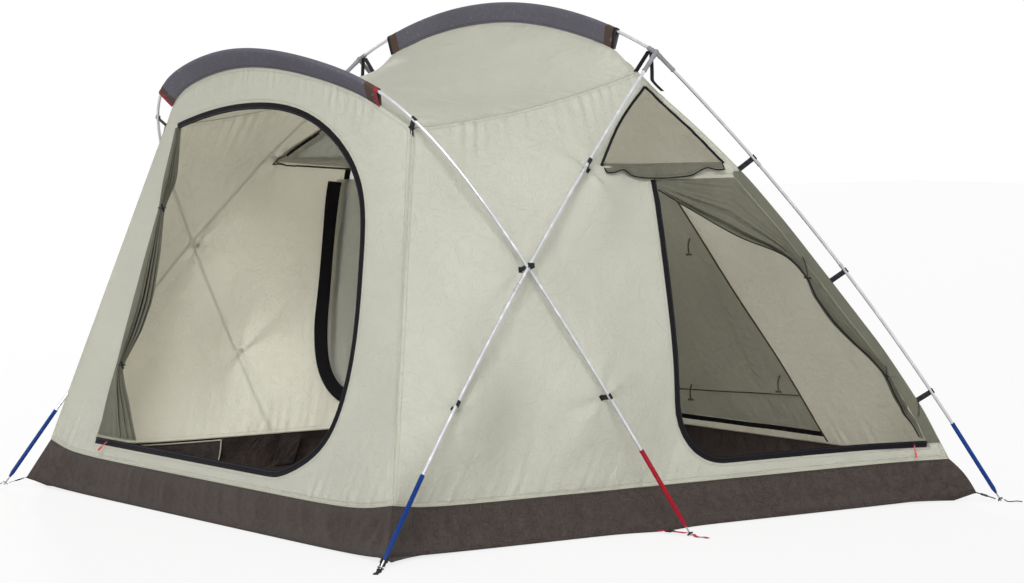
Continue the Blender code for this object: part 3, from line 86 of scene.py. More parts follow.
def addNode(tree, kind, inputs=(), **settings):
    node = tree.nodes.new("ShaderNode" + kind)
    for label, value in settings.items():
        setattr(node, label, value)
    for label, value in dict(inputs).items():
        feed(tree, node.inputs[label], value)
    return node.outputs


def mathNode(tree, operation, a, b=0.5, clamp=False):
    return addNode(tree, "Math", {0: a, 1: b}, operation=operation, use_clamp=clamp)[0]


def inverse(tree, value):
    return mathNode(tree, "SUBTRACT", 1.0, value)


def added(tree, value, mask, share, clamp=False):
    return mathNode(tree, "ADD", mathNode(tree, "MULTIPLY", mask, share), value, clamp)


def rampNode(tree, value, low, high):
    # Smooth 0 to 1 as the value goes from low to high.
    return addNode(tree, "MapRange", {"Value": value, "From Min": low, "From Max": high},
                   interpolation_type="SMOOTHSTEP")["Result"]


def noiseNode(tree, place, scale, detail, distortion=0.0):
    return addNode(tree, "TexNoise", {"Vector": place, "Scale": scale, "Detail": detail,
                                      "Distortion": distortion})["Fac"]


def waveNode(tree, place, scale, direction, distortion=0.0):
    return addNode(tree, "TexWave", {"Vector": place, "Scale": scale, "Distortion": distortion},
                   bands_direction=direction)["Fac"]


def layered(tree, color, *layers):
    # Each layer is a mask, its share and the colour that it lays over the rest.
    for mask, share, over in layers:
        color = addNode(tree, "Mix", {"Factor": mathNode(tree, "MULTIPLY", mask, share), "A": color, "B": over},
                        data_type="RGBA")["Result"]
    return color


def mixInto(tree, output, share, first, second):
    mix = addNode(tree, "MixShader", {0: share, 1: first, 2: second})
    tree.links.new(mix[0], output.inputs[0])


def backgroundRays(tree):
    # 1 where the camera, a mirror or a clear surface looks at the background.
    path = addNode(tree, "LightPath")
    either = mathNode(tree, "MAXIMUM", path["Is Camera Ray"], path["Is Glossy Ray"])
    return mathNode(tree, "MAXIMUM", either, path["Is Transmission Ray"])


def newMaterial(name, roughness, metallic=0.0, specular=0.5):
    material = bpy.data.materials.new(name)
    material.use_nodes = True
    tree = material.node_tree
    shader = tree.nodes["Principled BSDF"]
    for label, value in (("Roughness", roughness), ("Metallic", metallic), ("Specular IOR Level", specular)):
        shader.inputs[label].default_value = value
    return material, tree, shader


# Camera, light and floor

cameraSet = {
    "place": (9.4246, -6.5468, 1.5035),
    "yaw": 0.953,       # radians to the left of straight ahead
    "pitch": -0.0639,
    "roll": -0.005,
    "lens": 106.892,
    "sensor": 36.0,
    "shift": (-0.00833, -0.00065),
    "reach": 200,
}
lightSet = {
    "worldLight": 0.48,
    # strength, softness in degrees, way; the fill is narrow, so the poles draw lines through the far wall
    "key_light": (2.4, 24.0, (-0.74, 0.62, -0.52)),
    "fill_light": (2.7, 4.0, (0.88, -0.42, -0.06)),
}
floorSet = {"size": 60.0, "level": -0.0008, "color": (0.86, 0.86, 0.86), "glow": 0.80}


def makeCamera():
    yaw, pitch, roll = cameraSet["yaw"], cameraSet["pitch"], cameraSet["roll"]
    ahead = Vector((-math.sin(yaw) * math.cos(pitch), math.cos(yaw) * math.cos(pitch), math.sin(pitch)))
    right = Vector((math.cos(yaw), math.sin(yaw), 0))
    up = right.cross(ahead)
    right, up = (right * math.cos(roll) + up * math.sin(roll), up * math.cos(roll) - right * math.sin(roll))
    data = bpy.data.cameras.new("photo_camera")
    data.lens = cameraSet["lens"]
    data.sensor_width = cameraSet["sensor"]
    data.shift_x, data.shift_y = cameraSet["shift"]
    data.clip_end = cameraSet["reach"]
    camera = bpy.data.objects.new("photo_camera", data)
    bpy.context.scene.collection.objects.link(camera)
    turn = Matrix((right, up, -ahead)).transposed().to_4x4()
    camera.matrix_world = Matrix.Translation(cameraSet["place"]) @ turn
    bpy.context.scene.camera = camera


def makeSun(name):
    strength, angle, way = lightSet[name]
    data = bpy.data.lights.new(name, "SUN")
    data.energy = strength
    data.angle = math.radians(angle)
    lamp = bpy.data.objects.new(name, data)
    bpy.context.scene.collection.objects.link(lamp)
    lamp.rotation_euler = Vector(way).to_track_quat("-Z", "Y").to_euler()


def makeWorld():
    world = bpy.data.worlds.new("studio")
    bpy.context.scene.world = world
    world.use_nodes = True
    tree = world.node_tree
    tree.nodes.clear()
    light, seen = (addNode(tree, "Background", {"Color": (1, 1, 1), "Strength": strength})[0]
                   for strength in (lightSet["worldLight"], 1.0))
    mixInto(tree, tree.nodes.new("ShaderNodeOutputWorld"), backgroundRays(tree), light, seen)


def makeFloor():
    deselectAll()
    bpy.ops.mesh.primitive_plane_add(size=floorSet["size"], location=(0, 0, floorSet["level"]))
    floor = bpy.context.object
    floor.name = "studio_floor"
    material, tree, shader = newMaterial("studioFloor", 0.9, specular=0.1)
    feed(tree, shader.inputs["Base Color"], floorSet["color"])
    glow = addNode(tree, "Emission", {"Strength": 1.0})[0]
    share = mathNode(tree, "MULTIPLY", backgroundRays(tree), floorSet["glow"])
    mixInto(tree, tree.nodes["Material Output"], share, shader.outputs[0], glow)
    floor.data.materials.append(material)


makeCamera()
makeSun("key_light")
makeSun("fill_light")
makeWorld()
makeFloor()
bpy.context.scene.view_settings.view_transform = "Standard"

# Shared shader node groups

print("stage: materials")


def makeGroup(name, starts, outputs, build):
    # `build` makes the nodes from the group's inputs and gives back its outputs.
    group = bpy.data.node_groups.new(name, "ShaderNodeTree")
    sockets = group.interface
    sockets.new_socket("Vector", in_out="INPUT", socket_type="NodeSocketVector")
    for label, value in starts.items():
        sockets.new_socket(label, in_out="INPUT", socket_type="NodeSocketFloat").default_value = value
    for label in outputs:
        sockets.new_socket(label, in_out="OUTPUT", socket_type="NodeSocketFloat")
    start, end = group.nodes.new("NodeGroupInput"), group.nodes.new("NodeGroupOutput")
    given = [start.outputs[label] for label in ("Vector", *starts)]
    for label, value in zip(outputs, build(group, *given)):
        group.links.new(value, end.inputs[label])
    return group


def buildWeave(group, place, threads):
    # Plain weave: height of crossing threads, and a mask of the gaps between them.
    warp, weft = waveNode(group, place, threads, "X"), waveNode(group, place, threads, "Y")
    both = mathNode(group, "ADD", inverse(group, warp), inverse(group, weft))
    return mathNode(group, "MAXIMUM", warp, weft), rampNode(group, both, 1.0, 1.9)


def buildCreases(group, place, scale):
    # Soft folds and crisp storage creases in coated cloth.
    fine = noiseNode(group, place, mathNode(group, "MULTIPLY", scale, 3.1), 2.0, 2.2)
    ridge = mathNode(group, "ABSOLUTE", mathNode(group, "SUBTRACT", fine, 0.5))
    lines = inverse(group, rampNode(group, ridge, 0.0, 0.05))
    return added(group, noiseNode(group, place, scale, 4.0, 1.4), lines, 0.10), lines


def buildDust(group, place, reach):
    # Dust and scuffs that gather near the ground, and broad uneven fading.
    high = rampNode(group, addNode(group, "SeparateXYZ", {0: place})["Z"], 0.0, reach)
    speckle = rampNode(group, noiseNode(group, place, 34.0, 5.0), 0.35, 0.75)
    patches = rampNode(group, noiseNode(group, place, 1.7, 4.0), 0.3, 0.7)
    return mathNode(group, "MULTIPLY", inverse(group, high), speckle), patches


def buildStitches(group, place, distance, row):
    # A row of stitches and a pressed line beside a seam, from the distance to it.
    off = mathNode(group, "ABSOLUTE", mathNode(group, "SUBTRACT", distance, row))
    line = inverse(group, rampNode(group, off, 0.0006, 0.0016))
    beads = addNode(group, "TexVoronoi", {"Vector": place, "Scale": 260.0})["Distance"]
    thread = mathNode(group, "MULTIPLY", line, inverse(group, rampNode(group, beads, 0.35, 0.6)))
    return thread, line, inverse(group, rampNode(group, distance, 0.0, row))


def buildWear(group, place, scale):
    # Fine scratches and handling marks for metal and moulded plastic.
    marks = rampNode(group, noiseNode(group, place, scale, 6.0, 0.6), 0.48, 0.68)
    return marks, noiseNode(group, place, mathNode(group, "MULTIPLY", scale, 9.0), 2.0)


weaveGroup = makeGroup("weave", {"Threads": 300.0}, ("Height", "Gaps"), buildWeave)
creaseGroup = makeGroup("creases", {"Scale": 6.0}, ("Height", "Lines"), buildCreases)
dustGroup = makeGroup("dust", {"Reach": 0.16}, ("Low", "Patches"), buildDust)
stitchGroup = makeGroup("stitches", {"Distance": 1.0, "Row": 0.011}, ("Thread", "Press", "Fade"), buildStitches)
wearGroup = makeGroup("wear", {"Scale": 40.0}, ("Marks", "Grain"), buildWear)


def useGroup(tree, group, place, **values):
    return addNode(tree, "Group", {"Vector": place, **values}, node_tree=group)


def stitchesAt(tree, place, label, row):
    distance = addNode(tree, "Attribute", attribute_name=label)["Fac"]
    return useGroup(tree, stitchGroup, place, Distance=distance, Row=row)


def fillShader(tree, shader, color, rough, height, distance, strength=1.0):
    # Gives the shader its colour, roughness and bump, and gives back the bumped normal.
    normal = addNode(tree, "Bump", {"Height": height, "Distance": distance, "Strength": strength})["Normal"]
    for label, value in (("Base Color", color), ("Roughness", rough), ("Normal", normal)):
        feed(tree, shader.inputs[label], value)
    return normal


def lookTable(keys, rows):
    return {name: dict(zip(keys.split(), row)) for name, row in rows.items()}


# Linear colours; "through" is the see-through share and "glow" its tint, "dust" the share of low dust
clothLooks = lookTable("base patch seam thread through glow threads rough crease bump row dust", {
    "wallCloth": ((0.765, 0.785, 0.700), (0.805, 0.825, 0.745), (0.42, 0.41, 0.32), (0.60, 0.60, 0.48),
                  0.46, (0.86, 0.83, 0.75), 420.0, 0.72, 5.0, 0.010, 0.013, 0.18),
    "tubCloth": ((0.054, 0.040, 0.035), (0.066, 0.050, 0.044), (0.028, 0.021, 0.020), (0.11, 0.09, 0.085),
                 0.0, (0.1, 0.08, 0.07), 300.0, 0.46, 7.0, 0.022, 0.009, 0.07),
    "flapCloth": ((0.225, 0.222, 0.172), (0.26, 0.257, 0.202), (0.07, 0.07, 0.06), (0.13, 0.13, 0.10),
                  0.36, (0.44, 0.43, 0.33), 240.0, 0.80, 9.0, 0.010, 0.008, 0.18),
    "netCloth": ((0.47, 0.475, 0.435), (0.52, 0.525, 0.48), (0.24, 0.24, 0.21), (0.35, 0.35, 0.30),
                 0.61, (0.89, 0.89, 0.85), 160.0, 0.85, 6.0, 0.008, 0.010, 0.18),
    "pocketCloth": ((0.050, 0.038, 0.036), (0.060, 0.047, 0.044), (0.02, 0.016, 0.015), (0.07, 0.06, 0.055),
                    0.0, (0.1, 0.08, 0.07), 200.0, 0.8, 12.0, 0.008, 0.008, 0.18),
    "sleeveEndCloth": ((0.075, 0.043, 0.033), (0.090, 0.053, 0.041), (0.03, 0.018, 0.015), (0.11, 0.07, 0.055),
                       0.0, (0.1, 0.06, 0.05), 300.0, 0.7, 14.0, 0.006, 0.006, 0.18),
})
# "shine" is painted sheen, a lighter colour laid on the raised threads; "ribs" how many a metre
tapeLooks = lookTable("base shine ribs rough", {
    "blackWebbing": ((0.012, 0.011, 0.013), (0.028, 0.027, 0.030), 420.0, 0.72),
    "redWebbing": ((0.42, 0.030, 0.055), (0.62, 0.09, 0.11), 420.0, 0.70),
    "zipTape": ((0.006, 0.0055, 0.008), (0.013, 0.012, 0.016), 700.0, 0.75),
    "zipCoil": ((0.006, 0.006, 0.009), (0.020, 0.020, 0.026), 330.0, 0.45),
    "blackBinding": ((0.008, 0.0075, 0.009), (0.018, 0.017, 0.020), 500.0, 0.8),
    "redBinding": ((0.30, 0.020, 0.030), (0.42, 0.05, 0.06), 500.0, 0.75),
    "pullCord": ((0.66, 0.060, 0.085), (0.85, 0.16, 0.18), 380.0, 0.6),
    "blackCord": ((0.018, 0.017, 0.019), (0.06, 0.058, 0.062), 380.0, 0.6),
    "seamPiping": ((0.42, 0.415, 0.33), (0.50, 0.49, 0.40), 300.0, 0.8),
    "oliveCord": ((0.085, 0.078, 0.050), (0.12, 0.11, 0.075), 300.0, 0.8),
    "tubPiping": ((0.034, 0.026, 0.024), (0.055, 0.044, 0.040), 300.0, 0.7),
})
# "worn" is the colour of its marks, "scale" how fine they are, "gloss" its specular level
hardLooks = lookTable("base worn rough metal scale gloss", {
    "poleMetal": ((0.62, 0.63, 0.66), (0.80, 0.81, 0.83), 0.30, 1.0, 30.0, 0.5),
    "ferruleMetal": ((0.48, 0.49, 0.52), (0.70, 0.71, 0.74), 0.24, 1.0, 60.0, 0.5),
    "hubPlastic": ((0.23, 0.23, 0.245), (0.36, 0.36, 0.375), 0.42, 0.0, 50.0, 0.16),
    "clipPlastic": ((0.014, 0.014, 0.016), (0.060, 0.060, 0.064), 0.38, 0.0, 90.0, 0.16),
    "blueEnd": ((0.002, 0.028, 0.17), (0.01, 0.055, 0.23), 0.45, 0.0, 70.0, 0.16),
    "redEnd": ((0.27, 0.004, 0.016), (0.36, 0.02, 0.035), 0.45, 0.0, 70.0, 0.16),
    "ringMetal": ((0.30, 0.30, 0.32), (0.55, 0.55, 0.57), 0.32, 1.0, 80.0, 0.5),
})
sleeveLook = {"base": (0.128, 0.122, 0.150), "patch": (0.165, 0.160, 0.190), "fleck": (0.36, 0.35, 0.37),
              "gap": (0.045, 0.040, 0.052), "seam": (0.03, 0.027, 0.034), "rough": 0.85, "threads": 90.0}


dustColor, tapeDust, hardDust = (0.36, 0.32, 0.27), (0.30, 0.27, 0.23), (0.33, 0.30, 0.26)


def clothMaterial(name, look):
    material, tree, shader = newMaterial(name, look["rough"], specular=0.25)
    where = addNode(tree, "TexCoord")
    place = where["Object"]
    weave = useGroup(tree, weaveGroup, where["UV"], Threads=look["threads"])
    creases = useGroup(tree, creaseGroup, place, Scale=look["crease"])
    dust = useGroup(tree, dustGroup, place, Reach=0.20)
    edges = [stitchesAt(tree, place, "seamDistance", look["row"]), stitchesAt(tree, place, "hemDistance", 0.010)]
    stitching = [(lines[mask], share, look[over]) for lines in edges
                 for mask, share, over in (("Fade", 0.16, "seam"), ("Press", 0.22, "seam"), ("Thread", 0.7, "thread"))]
    color = layered(tree, look["base"], (dust["Patches"], 0.8, look["patch"]), (weave["Gaps"], 0.30, look["seam"]),
                    (creases["Lines"], 0.10, look["patch"]), *stitching, (dust["Low"], look["dust"], dustColor))
    height = added(tree, creases["Height"], weave["Height"], 0.025)
    for lines in edges:
        height = added(tree, height, lines["Press"], -0.10)
    rough = added(tree, look["rough"], dust["Low"], 0.25, True)
    normal = fillShader(tree, shader, color, rough, height, look["bump"])
    if look["through"]:
        glow = addNode(tree, "BsdfTranslucent", {"Color": look["glow"], "Normal": normal})[0]
        mixInto(tree, tree.nodes["Material Output"], look["through"], shader.outputs[0], glow)
    return material


def tapeMaterial(name, look):
    material, tree, shader = newMaterial(name, look["rough"], specular=0.18)
    where = addNode(tree, "TexCoord")
    ribs = waveNode(tree, where["UV"], look["ribs"] / 6.283, "X", 0.4)
    weave = useGroup(tree, weaveGroup, where["UV"], Threads=look["ribs"] / 3.0)
    dust = useGroup(tree, dustGroup, where["Object"], Reach=0.10)
    # The raised ribs are painted lighter with the shine colour: painted sheen on the threads
    color = layered(tree, look["base"], (ribs, 0.7, look["shine"]), (weave["Gaps"], 0.4, look["base"]),
                    (dust["Low"], 0.06, tapeDust))
    rough = added(tree, look["rough"], dust["Patches"], 0.10, True)
    fillShader(tree, shader, color, rough, added(tree, ribs, weave["Height"], 0.5), 0.0006)
    return material


def hardMaterial(name, look):
    material, tree, shader = newMaterial(name, look["rough"], look["metal"], look["gloss"])
    place = addNode(tree, "TexCoord")["Object"]
    wear = useGroup(tree, wearGroup, place, Scale=look["scale"])
    dust = useGroup(tree, dustGroup, place, Reach=0.07)
    color = layered(tree, look["base"], (wear["Marks"], 0.45, look["worn"]), (dust["Low"], 0.08, hardDust))
    rough = added(tree, look["rough"], wear["Marks"], 0.22, True)
    fillShader(tree, shader, color, rough, mathNode(tree, "ADD", wear["Grain"], wear["Marks"]), 0.0002, 0.6)
    return material


def sleeveMaterial(look):
    # Dark net that lets pale flecks of the cloth behind show.
    material, tree, shader = newMaterial("sleeveNet", look["rough"], specular=0.2)
    where = addNode(tree, "TexCoord")
    net = useGroup(tree, weaveGroup, where["UV"], Threads=look["threads"])
    dust = useGroup(tree, dustGroup, where["Object"], Reach=0.1)
    flecks = rampNode(tree, noiseNode(tree, where["UV"], 60.0, 4.0, 0.5), 0.60, 0.72)
    hems = stitchesAt(tree, where["Object"], "seamDistance", 0.008)
    color = layered(tree, look["base"], (dust["Patches"], 0.7, look["patch"]), (flecks, 0.35, look["fleck"]),
                    (net["Gaps"], 0.35, look["gap"]), (hems["Press"], 0.6, look["seam"]))
    fillShader(tree, shader, color, look["rough"], added(tree, net["Height"], flecks, 0.4), 0.0012)
    return material


looks = {"sleeveNet": sleeveMaterial(sleeveLook)}
for makeLook, rows in ((clothMaterial, clothLooks), (tapeMaterial, tapeLooks), (hardMaterial, hardLooks)):
    looks.update({name: makeLook(name, look) for name, look in rows.items()})


# Frame and cloth sizes, as in the part's source

poleFrame = {
    "baseWidth": 2.70,  # between the left and right pole tips
    "baseLength": 2.722,  # between the front and rear pole tips
    "tipHeight": 0.008,  # a pole's line ends this high, in its strap's ring
    "poleDiameter": 0.012,
    "ridgeHeight": 1.848,  # centre of the ridge pole, at its top
    "ridgeBack": 1.410,  # ridge pole behind the front tips
    "hubSpan": 1.942,  # between the two ridge hubs
    "hubDrop": 0.193,  # hubs below the top of the ridge pole
    "archHeight": 1.671,  # centre of the front arch, at its top
    "archTopBack": 0.303,  # top of the arch behind the front tips
    "archFootBack": 1.258,  # the arch's own feet behind the front tips
    "crownOut": 0.450,  # the arch is still flat this far from its middle
    "crownDrop": 0.049,  # and there lies this far below its top
    "shoulderOut": 0.789,  # it turns down this far from its middle
    "shoulderDrop": 0.166,  # and there lies this far below its top
    "frontLegBow": (0.022, -0.072, 0.0),
    "rearLegBow": (-0.012, 0.105, 0.0),
    "rearLegSkew": 0.3,  # the rear legs bow more towards the hub
    "poleStep": 0.125,  # longest straight stretch of a drawn pole
    "straight": 0.014,  # a pole is straight this far each side of a clip
    "crossClearance": 0.0008,  # between the two poles where they cross
}

poleEnds = {
    "endLength": 0.345,  # coloured end of a pole
    "endDiameter": 0.016,
    "endOverlap": 0.040,  # pole inside its coloured end
    "taperFrom": 0.030,  # the end narrows to its pin from here
    "taperTo": 0.046,  # to here
    "pinDiameter": 0.0064,
    "socketDiameter": 0.0175,
    "legSocketLength": 0.095,
    "ridgeSocketLength": 0.045,
    "socketFloor": 0.012,  # poles end this far from a hub's centre
    "hubDiameter": 0.023,
    "runClearance": 0.0003,  # pole to bore
    "mouthRun": 0.006,  # a pole is straight this far past a mouth
}

footStraps = {
    "strapWidth": 0.020,
    "strapThickness": 0.002,
    "middleStrapLift": 0.003,  # middle straps are sewn on this far above the floor seam
    "ringDiameter": 0.026,
    "ringThickness": 0.004,
    "tailStep": 0.016,  # webbing that comes down from the ring to the ground
    "tailLength": 0.055,  # flat end of a strap on the ground
    "groundGap": 0.0004,
}

cloth = {
    "cloth": 0.002,  # drawn thickness of the wall cloth
    "seamGap": 0.0003,  # between two panels at their seam
    "cornerIn": 0.062,  # tub's lower corner inside the pole tip, each way
    "cornerLift": 0.032,  # the corner strap lifts the corner
    "cornerTopIn": 0.135,  # tub's upper corner inside the pole tip, each way
    "tubHeight": 0.150,  # upper edge of the tub between the corners
    "frontCornerHeight": 0.185,
    "rearCornerHeight": 0.158,
    "seamLift": 0.005,  # floor seam above the ground between the corners
    "floorPull": (0.110, 0.045),  # floor seam runs this much inside its corners: sides, ends
    "tubPull": (0.095, -0.015),  # the same for the tub's upper edge
    "strapPull": 0.035,  # the middle strap draws the floor seam out again
    "strapPullReach": 0.117,  # to this far each side
    "edgeTurn": 8,  # how square the edges turn at the corners
    "hubToRoof": (-0.120, 0.0, -0.071),  # from a hub to the roof's corner
    "shoulderSag": 0.030,
    "roofRise": 0.018,  # the roof's cut lets its middle stand this far up
    "sideBulge": 0.075,  # and the side walls' this far out
    "pullReach": 0.240,  # a clip draws the cloth round it out over this distance
    "sleeveHeight": 0.068,  # pole centre to the seam that the sleeve is sewn in
    "sleeveOut": 0.757,  # half width of both sleeves
    "sleeveRadius": 0.0088,  # outside of the sleeve over the pole
    "sleeveFoot": 0.0026,  # half width of the sleeve at its seam
    "sleeveSeat": 0.0009,  # sleeve above the seam line
    "sleeveStations": 15,
    "endAcross": 17,
    "sideAcross": 17,
    "sideUp": 13,
}

poleClips = {
    # Height above the ground, or down from the pole's top (hub or arch) where it is negative;
    # how far in from the pole the clip is rooted, and the way out
    "rearClips": ((0.416, 0.058, (1, 1, 0.8)), (0.866, 0.060, (1, 1, 0.8)), (-0.376, 0.062, (1, 1, 0.8))),
    "frontClips": ((0.504, 0.045, (0.88, -0.47, 0.10)), (-0.374, 0.055, (0.5, 0.0, 0.87))),
    "archClips": ((0.489, 0.050, (1.0, 0.0, -0.05)), (-0.244, 0.045, (0.6, -0.38, 0.69))),
    "crossReach": 0.045,
    "rootRadius": 0.002,  # rolled root of a clip's tape, against the cloth
    "rootGap": 0.0006,
    "clipWidth": 0.020,
    "clipTape": 0.002,
    "clipWall": 0.003,
    "clipClearance": 0.0005,
    "clipLip": 0.004,  # the hook's free lip reaches this far past the pole's centre
    "crossWidth": 0.016,
    "crossLip": 0.010,
}

doors = {
    "zipWidth": 0.024,
    "zipThickness": 0.0026,
    "cutGap": 0.0006,  # between a wall's cut edge and what fills it
    "frontZipStations": 60,
    "sideZipStations": 48,
    "frontDoorSill": 0.213,  # foot of the front zip above the ground
    "frontDoorHead": 0.197,  # top of the front zip below the top of the arch
    "frontDoorLeft": 0.845,  # its lower left corner left of the middle
    # Outline from its lower right corner round to its upper left one: distance right of the middle,
    # and height as a share of the way from the foot to the top
    "frontDoorOut": (0.500, 0.760, 0.812, 0.765, 0.690, 0.440, 0.030, -0.615),
    "frontDoorUp": (0.0, 0.1205, 0.2752, 0.5686, 0.7748, 0.9492, 1.0, 0.9389),
    "sideDoorBack": 1.371,  # front edge of the side door behind the front tips
    "sideDoorTop": 0.440,  # its top below the hubs
    "sideDoorSill": 0.217,  # foot of its zip above the ground
    "sideDoorCorner": 0.230,  # radius of its lower front corner
    "rearEdgeIn": 0.045,  # sewn rear edge of the door inside the rear seam
    "ventFront": 0.289,  # lower front corner of the vent before the hub
    "ventRearIn": 0.037,  # its lower rear corner before the rear seam
    "ventTopBack": 0.023,  # its upper corner behind the hub
    "ventTop": 0.120,  # and below the hub
    "ventSill": 0.393,  # its lower edge below the hub
}

sliders = {
    "slider": (0.014, 0.010, 0.006),
    "frontRunIn": 0.045,  # the front zip's foot is straight this far inside its corners
    "sideRunStart": 0.246,  # the side zip is straight from here, before its rear end
    "sideRunEnd": 0.021,  # to here
    "frontRest": 0.03,  # a slider stands at this share of its run, from its nearer end
    "sideRest": 0.05,
    "pullLength": 0.045,
    "pullRoot": 0.0012,
    "pullLean": 38,  # degrees from straight down, along the wall
}

flaps = {
    # The side door's loose hem, as shares of the door's depth at that height and of its height
    "sideHemBack": (0.0406, 0.3188, 0.6476, 0.8975, 0.8867, 0.9200, 0.9643, 0.9687, 0.9798),
    "sideHemUp": (0.9589, 0.8808, 0.7725, 0.6693, 0.5441, 0.3978, 0.2695, 0.1353, 0.0230),
    "sideTies": (0.47, 0.79),  # share of the hem's length where it is tied
    "tieReach": 0.10,  # a tie flattens the folds over this share of it
    "tiedFold": 0.35,  # folds at a tie, as a share of the free ones
    "sideFlapEase": 0.13,  # folds die out over this share at the hem's two ends
    "bundleGap": 0.0008,  # between the bundle and the edge that it is sewn to
    "bundleFlat": 0.75,  # the bundle's depth, as a share of its width
    "bundleRadii": (0.012, 0.024, 0.030, 0.013, 0.030, 0.038, 0.034, 0.015, 0.040, 0.052),
    "ventFlapIn": 0.012,  # the vent's flap starts this far inside its corners
    "ventHang": 0.048,  # the loose vent flap hangs this far below its sill
    # Its cloth on the way over the sill: distance out from the wall, and up from the sill's edge
    "ventRollOut": (0.0, 0.0031, 0.0067, 0.0086, 0.0088),
    "ventRollUp": (0.0013, 0.0040, 0.0036, 0.0, -0.006),
    # and below it: distance out from the wall, and share of the hanging length
    "ventFallOut": (0.0090, 0.0110, 0.0130),
    "ventFallDown": (0.35, 0.70, 1.0),
    "ventCurlAt": 0.14,  # its ends curl up at this share from each corner
    "ventCurlReach": 0.07,
    "ventCurlOut": 0.008,
    "ventCurlLift": 0.55,  # share of the hanging length that a curl takes up
    "ventSideHang": 0.45,  # how far the flap hangs at its ends, as a share of the middle
}

hubStraps = {
    "hubStrapLow": 0.0045,  # sewn end of the strap above the roof's corner
    "hubStrapOut": 0.003,  # and outside it
    "hubStrapReach": 0.0405,  # the strap meets the ridge socket this far from the hub's centre
    "hubTailIn": 0.027,  # the tail hangs this far inside the hub's centre
}


def vec(*values):
    return np.array(values, float)


def unit(v):
    return np.asarray(v, float) / np.linalg.norm(v)


def fromFront(distance):
    # World y of a place that lies this far behind the front pole tips.
    return distance - poleFrame["baseLength"] / 2


def smoothLine(knots, count=400):
    # Natural cubic spline through the knots, evenly sampled.
    knots = np.asarray(knots, float)
    t = np.append(0.0, np.cumsum(np.linalg.norm(np.diff(knots, axis=0), axis=1)))
    h = np.diff(t)
    n = len(knots)
    system = np.eye(n)
    rhs = np.zeros((n, 3))
    for i in range(1, n - 1):
        system[i, i - 1:i + 2] = h[i - 1], 2 * (h[i - 1] + h[i]), h[i]
        rhs[i] = 6 * ((knots[i + 1] - knots[i]) / h[i] - (knots[i] - knots[i - 1]) / h[i - 1])
    bend = np.linalg.solve(system, rhs)
    points = []
    for s in np.linspace(0, t[-1], count):
        i = min(max(int(np.searchsorted(t, s, side="right")) - 1, 0), n - 2)
        a, b = t[i + 1] - s, s - t[i]
        points.append((bend[i] * a ** 3 + bend[i + 1] * b ** 3) / (6 * h[i])
                      + (knots[i] / h[i] - bend[i] * h[i] / 6) * a
                      + (knots[i + 1] / h[i] - bend[i + 1] * h[i] / 6) * b)
    return np.array(points)


def bowedLine(start, end, bow, skew=0.0, count=400):
    # Straight line that bows sideways by `bow` at its middle, and more towards its end.
    t = np.linspace(0, 1, count)[:, None]
    return start + (end - start) * t + 4 * t * (1 - t) * (1 + skew * (t - 0.5)) * np.asarray(bow)


class Route:
    # A pole's centre line, read by the length along it.

    def __init__(self, points):
        self.points = np.asarray(points, float)
        self.lengths = np.append(0.0, np.cumsum(np.linalg.norm(np.diff(self.points, axis=0), axis=1)))
        self.length = self.lengths[-1]

    def at(self, s):
        return vec(*(np.interp(s, self.lengths, self.points[:, k]) for k in range(3)))

    def direction(self, s):
        return unit(self.at(s + poleFrame["straight"]) - self.at(s - poleFrame["straight"]))

    def nearest(self, point):
        # Length along the route at which it comes nearest to this point.
        return self.lengths[int(np.argmin(np.linalg.norm(self.points - point, axis=1)))]

    def atHeight(self, height):
        # Length along the route at this height; a negative one is measured down from its top.
        z = height if height > 0 else self.points[-1, 2] + height
        above = int(np.argmax(self.points[:, 2] >= z))
        low, high = self.points[above - 1, 2], self.points[above, 2]
        share = (z - low) / (high - low)
        return self.lengths[above - 1] + share * (self.lengths[above] - self.lengths[above - 1])


# Frame points of the right side; the left side mirrors them
frontTip = vec(poleFrame["baseWidth"] / 2, fromFront(0), poleFrame["tipHeight"])
rearTip = vec(poleFrame["baseWidth"] / 2, fromFront(poleFrame["baseLength"]), poleFrame["tipHeight"])
archTip = vec(poleFrame["baseWidth"] / 2, fromFront(poleFrame["archFootBack"]), poleFrame["tipHeight"])
hub = vec(poleFrame["hubSpan"] / 2, fromFront(poleFrame["ridgeBack"]),
          poleFrame["ridgeHeight"] - poleFrame["hubDrop"])
archLean = (poleFrame["archFootBack"] - poleFrame["archTopBack"]) / (poleFrame["archHeight"] - poleFrame["tipHeight"])


def onArchPlane(x, z):
    return vec(x, archTip[1] - archLean * (z - poleFrame["tipHeight"]), z)


def archKnots(crossing):
    half = [onArchPlane(poleFrame["crownOut"], poleFrame["archHeight"] - poleFrame["crownDrop"]),
            onArchPlane(poleFrame["shoulderOut"], poleFrame["archHeight"] - poleFrame["shoulderDrop"]), crossing,
            archTip]
    left = [p * vec(-1, 1, 1) for p in reversed(half)]
    return left + [onArchPlane(0, poleFrame["archHeight"])] + half


def crossingPoints(leg):
    # Length at which the leg meets the arch's plane, the arch's point inside it, and the way out.
    off = leg.points[:, 1] + archLean * leg.points[:, 2] - (archTip[1] + archLean * poleFrame["tipHeight"])
    i = int(np.argmax(np.sign(off) != np.sign(off[0])))
    share = off[i - 1] / (off[i - 1] - off[i])
    s = leg.lengths[i - 1] + share * (leg.lengths[i] - leg.lengths[i - 1])
    outer = leg.at(s)
    arch = Route(smoothLine(archKnots(outer)))
    near = int(np.argmin(np.linalg.norm(arch.points - outer, axis=1)))
    along = unit(arch.points[near + 2] - arch.points[near - 2])
    out = unit(np.cross(leg.direction(s), along))
    if out[0] < 0:
        out = -out
    inPlane = unit(np.cross(along, unit(vec(0, 1, archLean))))
    if inPlane[0] < 0:
        inPlane = -inPlane
    shift = (poleFrame["poleDiameter"] + poleFrame["crossClearance"]) / float(inPlane @ out)
    return s, outer - inPlane * shift, out


